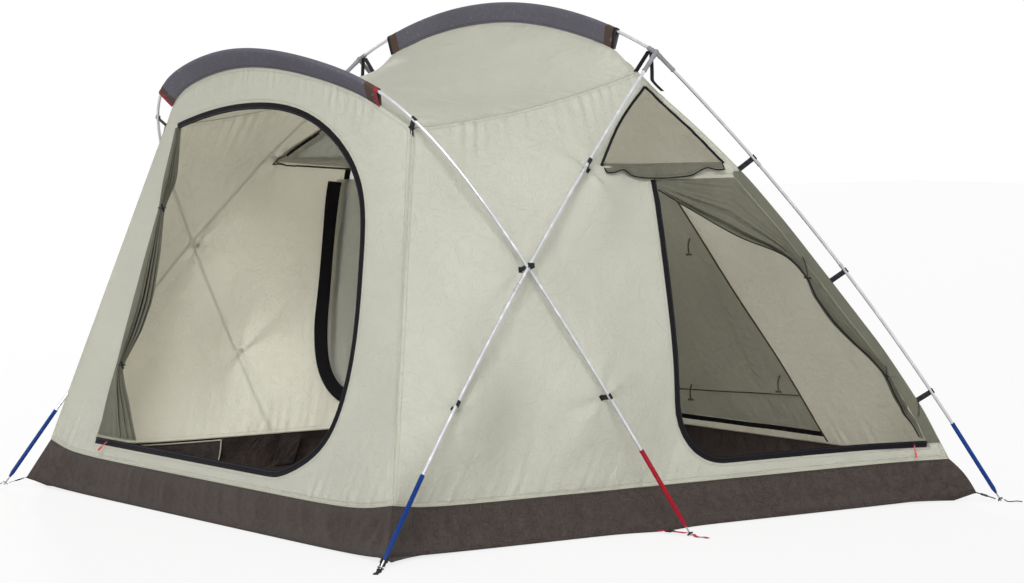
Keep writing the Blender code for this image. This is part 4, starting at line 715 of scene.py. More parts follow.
frontLeg = Route(bowedLine(frontTip, hub, poleFrame["frontLegBow"]))
rearLeg = Route(bowedLine(rearTip, hub, poleFrame["rearLegBow"], poleFrame["rearLegSkew"]))
crossAt, crossArch, crossOut = crossingPoints(frontLeg)
arch = Route(smoothLine(archKnots(crossArch), 901))
rightArch = Route(arch.points[len(arch.points) // 2:][::-1])   # from its right tip to its top


def rootDepth(reach):
    # From a pole's centre in to the middle of the cloth under a clip's root.
    return reach + poleClips["rootRadius"] + poleClips["rootGap"] + cloth["cloth"] / 2


def clipPlace(route, height, reach, out):
    # Pole point, pole direction, outward direction and the cloth under a clip's root.
    s = route.atHeight(height)
    along = route.direction(s)
    out = unit(vec(*out) - float(vec(*out) @ along) * along)
    return route.at(s), along, out, route.at(s) - out * rootDepth(reach)


rearPlaces = [clipPlace(rearLeg, *clip) for clip in poleClips["rearClips"]]
frontPlaces = [clipPlace(frontLeg, *clip) for clip in poleClips["frontClips"]]
archPlaces = [clipPlace(rightArch, *clip) for clip in poleClips["archClips"]]
crossCloth = crossArch - crossOut * rootDepth(poleClips["crossReach"])
roofFront = archPlaces[1][3]
roofRear = hub + vec(*cloth["hubToRoof"])


def resample(points, count):
    route = Route(points)
    return np.array([route.at(s) for s in np.linspace(0, route.length, count)])


def mirrored(points):
    return np.asarray(points) * vec(-1, 1, 1)


def tubCorner(front, inset, height):
    tip = frontTip if front else rearTip
    back = inset if front else -inset
    return vec(tip[0] - inset, tip[1] + back, height)


def edgeLine(start, end, pull, height, count, strapAt=None):
    # One side of a tub edge: straight between its corners, drawn in by `pull`.
    t = np.linspace(0, 1, count)
    inside = 1 - np.abs(2 * t - 1) ** cloth["edgeTurn"]
    line = start + (end - start) * t[:, None]
    amount = inside.copy()
    if strapAt is not None:
        away = (t - strapAt) * np.linalg.norm(end - start) / cloth["strapPullReach"]
        amount -= cloth["strapPull"] / np.linalg.norm(pull) * np.exp(-away ** 2)
    line += amount[:, None] * np.asarray(pull)
    line[:, 2] = line[:, 2] * (1 - inside) + height * inside
    return line


def tubEdges(count=41):
    # Lower and upper edge of the tub: front, right and rear side of each.
    edges = []
    for inset, frontHeight, rearHeight, pull, height in (
            (cloth["cornerIn"], cloth["cornerLift"], cloth["cornerLift"], cloth["floorPull"], cloth["seamLift"]),
            (cloth["cornerTopIn"], cloth["frontCornerHeight"], cloth["rearCornerHeight"], cloth["tubPull"],
             cloth["tubHeight"])):
        front, rear = tubCorner(True, inset, frontHeight), tubCorner(False, inset, rearHeight)
        strapAt = None if edges else (archTip[1] - front[1]) / (rear[1] - front[1])
        edges.append({"right": edgeLine(front, rear, (-pull[0], 0, 0), height, count, strapAt),
                      "front": edgeLine(mirrored(front), front, (0, pull[1], 0), height, count),
                      "rear": edgeLine(mirrored(rear), rear, (0, -pull[1], 0), height, count)})
    return edges


lowerEdge, upperEdge = tubEdges()


def hangingSeam(points, planeNormal, depth):
    # Line that hangs `depth` below a pole, square to it in the pole's own plane.
    points = np.asarray(points)
    along = np.gradient(points, axis=0)
    down = np.cross(along, unit(planeNormal))
    down /= np.linalg.norm(down, axis=1)[:, None]
    down *= np.where(down[:, 2:3] > 0, -1, 1)
    return points + down * depth


def stretch(left, right, bottom, top, bulge=(0, 0, 0), pulls=(), rounds=900):
    # Cloth stretched over four edges: each inner point is the mean of its neighbours.
    # Rows run from the bottom edge to the top, columns from left to right. `bulge` is how far
    # its cut lets the middle stand out. `pulls` are points that the nearest sheet point is
    # clipped to, with the sheet round it.
    nv, nu = len(left), len(bottom)
    u = np.linspace(0, 1, nu)[None, :, None]
    v = np.linspace(0, 1, nv)[:, None, None]
    sheet = ((1 - u) * left[:, None] + u * right[:, None] + (1 - v) * bottom[None] + v * top[None]
             - (1 - u) * (1 - v) * bottom[0] - u * (1 - v) * bottom[-1]
             - (1 - u) * v * top[0] - u * v * top[-1])
    for _ in range(rounds):
        sheet[1:-1, 1:-1] = (sheet[:-2, 1:-1] + sheet[2:, 1:-1] + sheet[1:-1, :-2] + sheet[1:-1, 2:]) / 4
    rise = 16 * u * (1 - u) * v * (1 - v)
    sheet += rise * np.asarray(bulge)
    if not pulls:
        return sheet
    # The humps that the clips draw are solved together, so that the sheet meets every clip
    held, humps = [], []
    fade = np.sqrt(rise[..., 0])
    for target in pulls:
        distance = np.linalg.norm(sheet[1:-1, 1:-1] - target, axis=2)
        j, i = np.unravel_index(int(np.argmin(distance)), distance.shape)
        held.append((j + 1, i + 1))
        away = np.linalg.norm(sheet - sheet[held[-1]], axis=2)
        humps.append(np.exp(-(away / cloth["pullReach"]) ** 2) * fade / fade[held[-1]])
    meets = np.array([[hump[place] for hump in humps] for place in held])
    moves = np.linalg.solve(meets, [target - sheet[place] for target, place in zip(pulls, held)])
    for hump, move in zip(humps, moves):
        sheet += hump[..., None] * move
    return sheet


def sleeveLengths(route):
    # Lengths along a pole at which its sleeve is drawn, from left to right.
    upper = np.nonzero((np.abs(route.points[:, 0]) <= cloth["sleeveOut"]) & (route.points[:, 2] > hub[2] / 2))[0]
    return np.linspace(route.lengths[upper[0]], route.lengths[upper[-1]], cloth["sleeveStations"])


def ridgePoints(count=201):
    x = np.linspace(-hub[0], hub[0], count)
    z = poleFrame["ridgeHeight"] - poleFrame["hubDrop"] * (x / hub[0]) ** 2
    return np.column_stack([x, np.full(count, hub[1]), z])


ridge = Route(ridgePoints())
archSleeve, ridgeSleeve = (np.array([route.at(s) for s in sleeveLengths(route)]) for route in (arch, ridge))
archNormal, ridgeNormal = unit(vec(0, 1, archLean)), vec(0, 1, 0)
archSeam, ridgeSeam = (np.vstack([mirrored(corner), hangingSeam(points, normal, cloth["sleeveHeight"]), corner])
                       for points, normal, corner in ((archSleeve, archNormal, roofFront),
                                                      (ridgeSleeve, ridgeNormal, roofRear)))


def through(points, keys, count):
    # Evenly spaced points of a line, with the nearest ones moved onto the key points.
    route = Route(points)
    lengths = np.linspace(0, route.length, count)
    for key in keys:
        at = route.nearest(key)
        lengths[int(np.argmin(np.abs(lengths - at)))] = at
    return np.array([route.at(s) for s in lengths])


def makeSideGrid():
    clips = [place[3] for place in rearPlaces]
    rearSeam = smoothLine([upperEdge["right"][-1]] + clips + [roofRear], 2000)
    shoulder = bowedLine(roofFront, roofRear, (0, 0, -cloth["shoulderSag"]))
    cornerSeam = np.linspace(upperEdge["right"][0], roofFront, 50)
    pulls = [frontPlaces[0][3], crossCloth, frontPlaces[1][3], archPlaces[0][3]]
    return stretch(resample(cornerSeam, cloth["sideUp"]), through(rearSeam, clips, cloth["sideUp"]),
                   resample(upperEdge["right"], cloth["sideAcross"]), resample(shoulder, cloth["sideAcross"]),
                   (cloth["sideBulge"], 0, 0), pulls)


sideGrid = makeSideGrid()
frontGrid, rearGrid = (stretch(mirrored(sideGrid[:, edge]), sideGrid[:, edge],
                               resample(upperEdge[place], cloth["endAcross"]), seam)
                       for edge, place, seam in ((0, "front", archSeam), (-1, "rear", ridgeSeam)))
roofGrid = stretch(mirrored(sideGrid[-1]), sideGrid[-1], archSeam, ridgeSeam, (0, 0, cloth["roofRise"]))


# Door and zip outlines

def offsetLine(points, distance):
    # Shift a plane line sideways, to its left for a positive distance.
    points = np.asarray(points, float)
    along = np.gradient(points, axis=0)
    along /= np.linalg.norm(along, axis=1)[:, None]
    return points + distance * np.column_stack([-along[:, 1], along[:, 0]])


def even(points, count):
    points = np.asarray(points, float)
    return resample(np.column_stack([points, np.zeros(len(points))]), count)[:, :2]


doorFront = fromFront(doors["sideDoorBack"])
doorTop = hub[2] - doors["sideDoorTop"]
sill = hub[2] - doors["ventSill"]


def rearEdgeY(z, inside=doors["rearEdgeIn"]):
    # y of a line in the side wall, this far before its rear seam.
    seam = sideGrid[:, -1]
    return float(np.interp(z, seam[:, 2], seam[:, 1])) - inside


ventRear = rearEdgeY(sill, doors["ventRearIn"])


def frontZipLine():
    # (x, z) from the lower left corner along the bottom, up and over to the upper left.
    rise = poleFrame["archHeight"] - doors["frontDoorHead"] - doors["frontDoorSill"]
    knots = [(x, doors["frontDoorSill"] + rise * share, 0)
             for x, share in zip(doors["frontDoorOut"], doors["frontDoorUp"])]
    curve = smoothLine(knots, 200)[:, :2]
    bottom = np.linspace((-doors["frontDoorLeft"], doors["frontDoorSill"]), curve[0], 40)[:-1]
    return even(np.vstack([bottom, curve]), doors["frontZipStations"])


def sideZipLine():
    # (y, z) from the top of the front edge, down, round the corner and back along the bottom.
    r = doors["sideDoorCorner"]
    top = (doorFront, doorTop - doors["cutGap"])
    rear = rearEdgeY(doors["sideDoorSill"] + doors["zipWidth"] / 2) - doors["cutGap"]
    angles = np.radians(np.linspace(180, 270, 24))
    turn = np.column_stack([doorFront + r + r * np.cos(angles), doors["sideDoorSill"] + r + r * np.sin(angles)])
    front = np.linspace(top, turn[0], 30)[:-1]
    bottom = np.linspace(turn[-1], (rear, doors["sideDoorSill"]), 30)[1:]
    return even(np.vstack([front, turn, bottom]), doors["sideZipStations"])


frontLine = frontZipLine()
sideLine = sideZipLine()


def frontDoorOutline():
    # (x, z) outline of the front door's cut: round the zip and straight down its left side.
    outline = offsetLine(frontLine, -(doors["zipWidth"] / 2 + doors["cutGap"]))
    outline[0] += (2 * doors["cutGap"] + doors["zipWidth"] / 4) * unit(outline[0] - outline[1])
    outline[-1] += 2 * doors["cutGap"] * unit(outline[-1] - outline[-2])
    return outline


def frontEdgeX(z):
    # The cut's left side at this height.
    outline = frontDoorOutline()
    return float(np.interp(z, [outline[0][1], outline[-1][1]], [outline[0][0], outline[-1][0]]))


def sideDoorOutline(filled=False):
    # (y, z) outline of the side door's cut, or of the panel that fills it inside its zip.
    zipSide = offsetLine(sideLine, (doors["zipWidth"] / 2 + doors["cutGap"]) * (1 if filled else -1))
    inside = doors["cutGap"] if filled else 0.0
    zipSide[0, 1] = doorTop - inside
    rear = [(rearEdgeY(z) - inside, z) for z in np.linspace(zipSide[-1, 1], doorTop - inside, 8)]
    return np.vstack([zipSide[:-1], rear])


def ventOutline(filled=False):
    # (y, z) corners of the vent; a triangle's sharp corners draw in further than its sides.
    inside = doors["cutGap"] if filled else 0.0
    return [(hub[1] - doors["ventFront"] + 2 * inside, sill + inside), (ventRear - 2 * inside, sill + inside),
            (hub[1] + doors["ventTopBack"], hub[2] - doors["ventTop"] - 1.5 * inside)]


# Mesh tools

print("stage: cloth")


def splineWeights(count, fine):
    # Weights that read `fine` even places off the natural cubic spline through `count` even knots.
    system = np.eye(count)
    rhs = np.zeros((count, count))
    for i in range(1, count - 1):
        system[i, i - 1:i + 2] = 1, 4, 1
        rhs[i, i - 1:i + 2] = 6, -12, 6
    bend = np.linalg.solve(system, rhs)
    t = np.linspace(0, count - 1, fine)
    i = np.minimum(t.astype(int), count - 2)
    b = t - i
    a = 1 - b
    weights = ((a ** 3 - a) / 6)[:, None] * bend[i] + ((b ** 3 - b) / 6)[:, None] * bend[i + 1]
    rows = np.arange(fine)
    weights[rows, i] += a
    weights[rows, i + 1] += b
    return weights


def refined(grid, rows, columns):
    up = splineWeights(grid.shape[0], rows)
    across = splineWeights(grid.shape[1], columns)
    return np.einsum("ja,abk,ib->jik", up, grid, across)


def arcAlong(grid, axis):
    steps = np.linalg.norm(np.diff(grid, axis=axis), axis=2)
    start = np.zeros_like(np.take(steps, [0], axis=axis))
    return np.concatenate([start, np.cumsum(steps, axis=axis)], axis=axis)


def gridNormals(grid):
    normal = np.cross(np.gradient(grid, axis=1), np.gradient(grid, axis=0))
    return normal / np.maximum(np.linalg.norm(normal, axis=2), 1e-9)[..., None]


def gridEdges(grid):
    return [grid[0], grid[-1], grid[:, 0], grid[:, -1]]


def newPiece(name, addPrimitive, **settings):
    # What a primitive's operator makes, with the piece's name.
    deselectAll()
    addPrimitive(**settings)
    item = bpy.context.object
    item.name = item.data.name = name
    return item


def setUv(mesh, perVertex):
    corners = np.empty(len(mesh.loops), np.int32)
    mesh.loops.foreach_get("vertex_index", corners)
    layer = mesh.uv_layers[0] if mesh.uv_layers else mesh.uv_layers.new(name="UVMap")
    layer.data.foreach_set("uv", perVertex[corners].astype(np.float32).ravel())


def applyAll(item):
    onlyActive(item)
    for modifier in list(item.modifiers):
        bpy.ops.object.modifier_apply(modifier=modifier.name)


def modified(item, kind, **settings):
    step = item.modifiers.new("step", kind)
    for label, value in settings.items():
        setattr(step, label, value)
    applyAll(item)


def gridPiece(grid, name, thickness=0.0):
    # A grid primitive whose points are moved to the given places, with its UV map in metres.
    rows, columns = grid.shape[:2]
    item = newPiece(name, bpy.ops.mesh.primitive_grid_add, x_subdivisions=columns - 1, y_subdivisions=rows - 1, size=2)
    mesh = item.data
    flat = np.empty(len(mesh.vertices) * 3)
    mesh.vertices.foreach_get("co", flat)
    flat = flat.reshape(-1, 3)
    i = np.rint((flat[:, 0] + 1) / 2 * (columns - 1)).astype(int)
    j = np.rint((flat[:, 1] + 1) / 2 * (rows - 1)).astype(int)
    mesh.vertices.foreach_set("co", grid[j, i].ravel())
    setUv(mesh, np.column_stack([arcAlong(grid, 1)[j, i], arcAlong(grid, 0)[j, i]]))
    mesh.update()
    bpy.ops.object.shade_smooth()
    if thickness:
        modified(item, "SOLIDIFY", thickness=thickness, offset=0.0)
    return item


def soften(item, width, segments=2, angle=35.0):
    modified(item, "BEVEL", width=width, segments=segments, limit_method="ANGLE", angle_limit=math.radians(angle))


def smoothByAngle(item, angle):
    onlyActive(item)
    bpy.ops.object.shade_smooth_by_angle(angle=math.radians(angle))


def faceOut(item, merge=0.00001):
    # Doubles merged and all faces turned outwards.
    onlyActive(item)
    bpy.ops.object.mode_set(mode="EDIT")
    bpy.ops.mesh.select_all(action="SELECT")
    bpy.ops.mesh.remove_doubles(threshold=merge)
    bpy.ops.mesh.normals_make_consistent(inside=False)
    bpy.ops.object.mode_set(mode="OBJECT")


def placed(xAxis, yAxis, zAxis, origin=(0, 0, 0)):
    turn = Matrix((xAxis, yAxis, zAxis)).transposed().to_4x4()
    turn.translation = origin
    return turn


def standing(origin, way):
    # Puts a piece that was made along Z at this origin, along this way.
    return Matrix.Translation(origin) @ Vector(way).to_track_quat("Z", "Y").to_matrix().to_4x4()


def moveMesh(item, matrix):
    item.data.transform(matrix)
    if matrix.determinant() < 0:
        item.data.flip_normals()
    item.data.update()


def inRingOrder(item):
    # The points of a circle primitive, in order round it.
    ring = [v.co for v in item.data.vertices]
    return sorted(range(len(ring)), key=lambda k: math.atan2(ring[k].y, ring[k].x))


def profilePiece(name, outline, width):
    # A closed outline in the XY plane, filled and given a width along Z.
    item = newPiece(name, bpy.ops.mesh.primitive_circle_add, vertices=len(outline), radius=1, fill_type="NGON")
    points = np.column_stack([np.asarray(outline, float), np.full(len(outline), -width / 2)])
    around = np.roll(points, -1, axis=0)
    if np.sum(points[:, 0] * around[:, 1] - around[:, 0] * points[:, 1]) > 0:
        points = points[::-1]
    for place, k in enumerate(inRingOrder(item)):
        item.data.vertices[k].co = points[::-1][place]
    item.data.update()
    bpy.ops.object.mode_set(mode="EDIT")
    bpy.ops.mesh.select_all(action="SELECT")
    bpy.ops.mesh.extrude_region_move(TRANSFORM_OT_translate={"value": (0, 0, width)})
    bpy.ops.mesh.select_all(action="SELECT")
    bpy.ops.mesh.normals_make_consistent(inside=False)
    bpy.ops.object.mode_set(mode="OBJECT")
    return item


def boxPiece(name, x, y, width):
    # A bar between two x and two y.
    return profilePiece(name, [(x[0], y[0]), (x[1], y[0]), (x[1], y[1]), (x[0], y[1])], width)


alongX = placed((0, 1, 0), (0, 0, 1), (1, 0, 0))
alongY = placed((1, 0, 0), (0, 0, 1), (0, -1, 0))
prisms = {   # where a cutting prism stands, and its width
    "right": (Matrix.Translation((poleFrame["baseWidth"] / 4, 0, 0)) @ alongX, poleFrame["baseWidth"] / 2),
    "left": (Matrix.Translation((-poleFrame["baseWidth"] / 4, 0, 0)) @ alongX, poleFrame["baseWidth"] / 2),
    "front": (Matrix.Translation((0, -poleFrame["baseLength"] / 4, 0)) @ alongY, poleFrame["baseLength"] / 2),
    "rear": (Matrix.Translation((0, poleFrame["baseLength"] / 4, 0)) @ alongY, poleFrame["baseLength"] / 2),
}


def cutAway(item, outline, prism, keepInside=False):
    # Cuts a prism out of a piece, or keeps only what is in it.
    matrix, width = prisms[prism]
    cutter = profilePiece("cutter", outline, width)
    moveMesh(cutter, matrix)
    faceOut(cutter)
    modified(item, "BOOLEAN", operation="INTERSECT" if keepInside else "DIFFERENCE", solver="EXACT", object=cutter)
    bpy.data.objects.remove(cutter, do_unlink=True)


def pointTree(points):
    tree = KDTree(len(points))
    for i, point in enumerate(points):
        tree.insert(point, i)
    tree.balance()
    return tree


def tubePiece(name, points, radius, sides=12, radii=None, closed=False):
    # A round bar along a line of points, made from a path with a bevel.
    item = newPiece(name, bpy.ops.curve.primitive_nurbs_path_add, radius=1, location=(0, 0, 0))
    curve = item.data
    curve.splines.clear()
    line = curve.splines.new("POLY")
    line.points.add(len(points) - 1)
    line.points.foreach_set("co", np.column_stack([points, np.ones(len(points))]).ravel())
    if radii is not None:
        line.points.foreach_set("radius", np.asarray(radii, float))
    line.use_cyclic_u = closed
    line.use_smooth = True
    curve.bevel_depth = radius
    curve.bevel_resolution = max(0, (sides - 4) // 2)
    curve.use_fill_caps = not closed
    bpy.ops.object.convert(target="MESH")
    item = bpy.context.object
    item.data.name = name
    faceOut(item)
    arc = arcAlong(np.asarray(points)[None], 1)[0]
    tree = pointTree(points)
    setUv(item.data, np.array([(arc[tree.find(v.co)[1]], k * radius * 0.5) for k, v in enumerate(item.data.vertices)]))
    smoothByAngle(item, 50.0)
    return item


def ribbonPiece(name, points, across, width, thickness, bevel=0.0003):
    # A flat tape along a line of points; `across` is its width direction at each of them.
    points = np.asarray(points, float)
    across = np.broadcast_to(np.asarray(across, float), points.shape)
    across = across / np.linalg.norm(across, axis=1)[:, None]
    grid = np.array([points + across * width * share for share in (-0.5, -0.25, 0.0, 0.25, 0.5)])
    item = gridPiece(grid, name, thickness)
    soften(item, bevel, 1)
    smoothByAngle(item, 50.0)
    return item


def joined(name, items):
    # Several meshes as one piece.
    onlyActive(items[0])
    for item in items:
        item.select_set(True)
    bpy.ops.object.join()
    item = bpy.context.object
    item.name = item.data.name = name
    return item


def install(item, look, body="tent", stands=()):
    item.data.materials.clear()
    item.data.materials.append(looks[look])
    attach(item, body)
    if stands:
        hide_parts(*stands)
    return item


def linePoints(line, step=0.002):
    # A polyline as points at most a step apart.
    route = Route(line)
    return [route.at(s) for s in np.linspace(0, route.length, max(2, int(route.length / step)))]


def distancesTo(points, lines, step):
    tree = pointTree([spot for line in lines for spot in linePoints(line, step)])
    return np.array([tree.find(point)[2] for point in points])


def markDistances(item, seams=(), hems=()):
    # Distance of each point to the nearest seam and the nearest cut hem, for the materials.
    points = [v.co for v in item.data.vertices]
    for label, lines in (("seamDistance", seams), ("hemDistance", hems)):
        away = np.minimum(1.0, distancesTo(points, lines, 0.002)) if len(lines) else np.ones(len(points))
        layer = item.data.attributes.new(label, "FLOAT", "POINT")
        layer.data.foreach_set("value", away.astype(np.float32))


def finishCloth(item, look, seams=(), hems=(), stands=(), angle=60.0):
    # Dresses a sheet of cloth: marks its distances to seams and hems, smooths its shading and gives it its look.
    markDistances(item, seams, hems)
    smoothByAngle(item, angle)
    install(item, look, stands=stands)


# Stretched cloth: fine panels with their puckers and folds

clothDetail = {
    "up": 121,            # points from a wall's foot to its top
    "along": 177,         # and along any wall's foot, or across the roof
    "thickness": 0.0009,
    "footPucker": (0.0040, 0.090, 0.052),    # height, reach and wavelength of the puckers at the tub's seam
    "topPucker": (0.0034, 0.075, 0.036),
    "edgePucker": (0.0018, 0.055, 0.060),
    "clipFold": (0.0058, 0.170, 5),          # height, reach and number of folds from a clip
    "softFold": (0.0042, (0.28, 0.85)),      # height and wavelengths of the broad folds
    "still": 0.010,                          # the cloth lies still this close to a seam
    "zipStill": 0.070,                       # and this close to a zip
    "clipStill": 0.028,                      # and under a clip's tape
    "foldRoot": 0.02,                        # a clip's folds start this far from it
    "corner": (0.16, 0.055),                 # reach and spread of the front zip's rounded corner
}
wholeTurn = 2 * np.pi


def irregular(s, wavelength, parts=5):
    # An uneven wave along s, between about -1 and 1.
    total = np.zeros_like(s)
    for _ in range(parts):
        stretchShare = rng.uniform(0.6, 1.8)
        total += np.sin(wholeTurn * s / (wavelength * stretchShare) + rng.uniform(0, wholeTurn))
    return total / parts ** 0.5


def softFolds(u, v, height, wavelengths, parts=9):
    total = np.zeros_like(u)
    for _ in range(parts):
        way = rng.uniform(0, np.pi)
        wavelength = rng.uniform(*wavelengths)
        total += np.sin(wholeTurn * (u * np.cos(way) + v * np.sin(way)) / wavelength + rng.uniform(0, wholeTurn))
    return height * total / parts ** 0.5


def wrinkled(grid, spots=(), foot=1.0, top=1.0, fold=1.0, quiet=()):
    # The panel with puckers along its seams, folds that run out from its clips, and broad folds.
    # It lies still along the `quiet` lines, where zips are sewn in.
    detail = clothDetail
    u, v = arcAlong(grid, 1), arcAlong(grid, 0)
    uLeft = u[:, -1:] - u
    vDown = v[-1:] - v
    lift = softFolds(u, v, detail["softFold"][0] * fold, detail["softFold"][1])
    for amount, distance, along, kind in ((foot, v, u, "footPucker"), (top, vDown, u, "topPucker"),
                                          (1.0, u, v, "edgePucker"), (1.0, uLeft, v, "edgePucker")):
        height, reach, wavelength = detail[kind]
        lift += amount * height * irregular(along, wavelength) * np.exp(-distance / reach)
    height, reach, folds = detail["clipFold"]
    aways = [np.linalg.norm(grid - spot, axis=2) for spot in spots]
    for away in aways:
        j, i = np.unravel_index(int(np.argmin(away)), away.shape)
        r = np.hypot(u - u[j, i], v - v[j, i])
        angle = np.arctan2(v - v[j, i], u - u[j, i])
        star = np.cos(folds * angle + rng.uniform(0, wholeTurn)) + 0.5 * np.cos(3 * angle + rng.uniform(0, 6))
        lift += height * star * np.exp(-r / reach) * (1 - np.exp(-(r / detail["foldRoot"]) ** 2))
    for away in aways:
        lift *= 1 - np.exp(-(away / detail["clipStill"]) ** 2)
    nearest = np.minimum(np.minimum(u, uLeft), np.minimum(v, vDown))
    lift *= 1 - np.exp(-(nearest / detail["still"]) ** 2)
    if len(quiet):
        away = distancesTo(grid.reshape(-1, 3), quiet, 0.01).reshape(grid.shape[:2])
        lift *= 1 - np.exp(-(away / detail["zipStill"]) ** 2)
    return grid + gridNormals(grid) * lift[..., None]


def easedCorner(line):
    # The front zip's corner, rounded where its straight foot meets the curve.
    reach, spread = clothDetail["corner"]
    s = np.append(0.0, np.cumsum(np.linalg.norm(np.diff(line, axis=0), axis=1)))
    corner = s[np.argmax(line[:, 1] > line[:, 1].min() + 0.001)]
    out = line.copy()
    for i in range(1, len(line) - 1):
        share = math.exp(-((s[i] - corner) / reach) ** 2)
        weights = np.exp(-((s - s[i]) / spread) ** 2)
        out[i] = line[i] * (1 - share) + share * (weights @ line) / weights.sum()
    return out


class Wall:
    # Reads a cloth's mid-surface from outside: an end wall along Y, a side wall along X.

    def __init__(self, grid, isSide):
        self.isSide = isSide
        rows, columns = grid.shape[:2]
        corners = [(j * columns + i, j * columns + i + 1, (j + 1) * columns + i + 1, (j + 1) * columns + i)
                   for j in range(rows - 1) for i in range(columns - 1)]
        self.tree = BVHTree.FromPolygons([Vector(p) for p in grid.reshape(-1, 3)], corners)

    def cast(self, a, b):
        if self.isSide:
            return self.tree.ray_cast(Vector((poleFrame["baseWidth"], a, b)), Vector((-1, 0, 0)))
        return self.tree.ray_cast(Vector((a, -poleFrame["baseLength"], b)), Vector((0, 1, 0)))

    def point(self, a, b):
        return np.array(self.cast(a, b)[0])

    def along(self, line, inward=None):
        # Points and normals along a line; the normals look outwards, or along `inward`.
        way = -vec(*inward) if inward is not None else vec(-1, 0, 0) if self.isSide else vec(0, 1, 0)
        hits = [self.cast(a, b) for a, b in line]
        normals = np.array([hit[1] for hit in hits])
        return np.array([hit[0] for hit in hits]), normals * np.where(normals @ way < 0, 1.0, -1.0)[:, None]


def outlineOn(wall, outline, side=1):
    closed = np.vstack([outline, outline[:1]])
    return [wall.point(a, b) * vec(side, 1, 1) for a, b in even(closed, 160)]


frontLine = easedCorner(frontLine)
fineSide = refined(sideGrid, clothDetail["up"], clothDetail["along"])
fineFront = refined(frontGrid, clothDetail["up"], clothDetail["along"])
fineRear = refined(rearGrid, clothDetail["up"], clothDetail["along"])
fineRoof = refined(roofGrid, clothDetail["along"], clothDetail["along"])
sideSpots = [frontPlaces[0][3], crossCloth, frontPlaces[1][3], archPlaces[0][3]] + [p[3] for p in rearPlaces]
smoothSide = Wall(fineSide, True)
smoothFront = Wall(fineFront, False)
sideZipPath = [smoothSide.point(a, b) for a, b in sideLine]
frontZipPath = [smoothFront.point(a, b) for a, b in frontLine]
rightSide = wrinkled(fineSide, sideSpots, quiet=[sideZipPath])
leftSide = mirrored(wrinkled(fineSide, sideSpots, quiet=[sideZipPath]))
frontCloth = wrinkled(fineFront, top=0.9, quiet=[frontZipPath])
rearCloth = wrinkled(fineRear, top=0.9, fold=1.2)
roofCloth = wrinkled(fineRoof, foot=0.8, top=0.8, fold=1.2)
sideWall = Wall(rightSide, True)
leftWall = Wall(mirrored(leftSide), True)
frontWall = Wall(frontCloth, False)
rearWall = Wall(rearCloth, False)
wallSides = (("right", 1, rightSide, sideWall), ("left", -1, leftSide, leftWall))


def makePanel(name, grid, fine, openings, prism, wall, stands, side=1):
    item = gridPiece(grid, name, clothDetail["thickness"])
    for outline in openings:
        cutAway(item, outline, prism)
    seams = [edge * vec(side, 1, 1) for edge in gridEdges(fine)]
    hems = [outlineOn(wall, outline, side) for outline in openings]
    finishCloth(item, "wallCloth", seams, hems, [stands])


for name, side, grid, wall in wallSides:
    makePanel(name + "_wall_cloth", grid, fineSide, (sideDoorOutline(), np.array(ventOutline())), name, wall,
              name + "_wall", side)
makePanel("front_wall_cloth", frontCloth, fineFront, [frontDoorOutline()], "front", frontWall, "front_wall")
makePanel("rear_wall_cloth", rearCloth, fineRear, (), "rear", rearWall, "rear_wall")
makePanel("roof_cloth", roofCloth, fineRoof, (), "rear", rearWall, "roof")


# Closed door and vent of the left side, and the bindings round the openings

panelSet = {
    "binding": 0.0016,      # its thickness
    "bindingOff": 0.0012,   # its middle, from the middle of the cloth
    "doorWidth": 0.012,
    "ventWidth": 0.010,
    "topReach": 0.012,      # the door's upper binding starts this far before its front edge
}


def fillPanel(name, outline):
    item = gridPiece(leftSide, name + "_cloth", clothDetail["thickness"])
    cutAway(item, outline, "left", keepInside=True)
    finishCloth(item, "netCloth", (), [outlineOn(leftWall, outline, -1)],
                [name])


def sewnTape(name, wall, line, side, look, width, thickness, off, inward=None):
    # A tape sewn to a wall along (y, z) or (x, z) points, on its outer or its inner side.
    points, normals = wall.along(line, inward)
    flip = vec(side, 1, 1)
    across = np.cross(np.gradient(points, axis=0), normals) * flip
    install(ribbonPiece(name, (points + normals * off) * flip, across, width, thickness), look)


def binding(name, wall, line, side, look, width):
    sewnTape(name, wall, np.array(line), side, look, width, panelSet["binding"], panelSet["bindingOff"])


fillPanel("left_door_panel", sideDoorOutline(True))
fillPanel("left_vent_panel", np.array(ventOutline(True)))
frontCorner, rearCorner, topCorner = [np.array(corner) for corner in ventOutline()]
for label, side, _, wall in wallSides:
    for part, start, end in (("front", frontCorner, topCorner), ("rear", topCorner, rearCorner),
                             ("sill", frontCorner, rearCorner))[:2 if side > 0 else 3]:
        binding(f"{label}_vent_{part}_binding", wall, np.linspace(start, end, 40), side, "blackBinding",
                panelSet["ventWidth"])
    top = [(y, doorTop) for y in np.linspace(doorFront - panelSet["topReach"], rearEdgeY(doorTop), 30)]
    rear = [(rearEdgeY(z), z) for z in np.linspace(doors["sideDoorSill"], doorTop, 60)]
    binding(label + "_door_top_binding", wall, top, side, "blackBinding" if side < 0 else "seamPiping",
            panelSet["doorWidth"])
    binding(label + "_door_rear_binding", wall, rear, side, "seamPiping", panelSet["doorWidth"])


# Linings and bands on the inner side of the walls

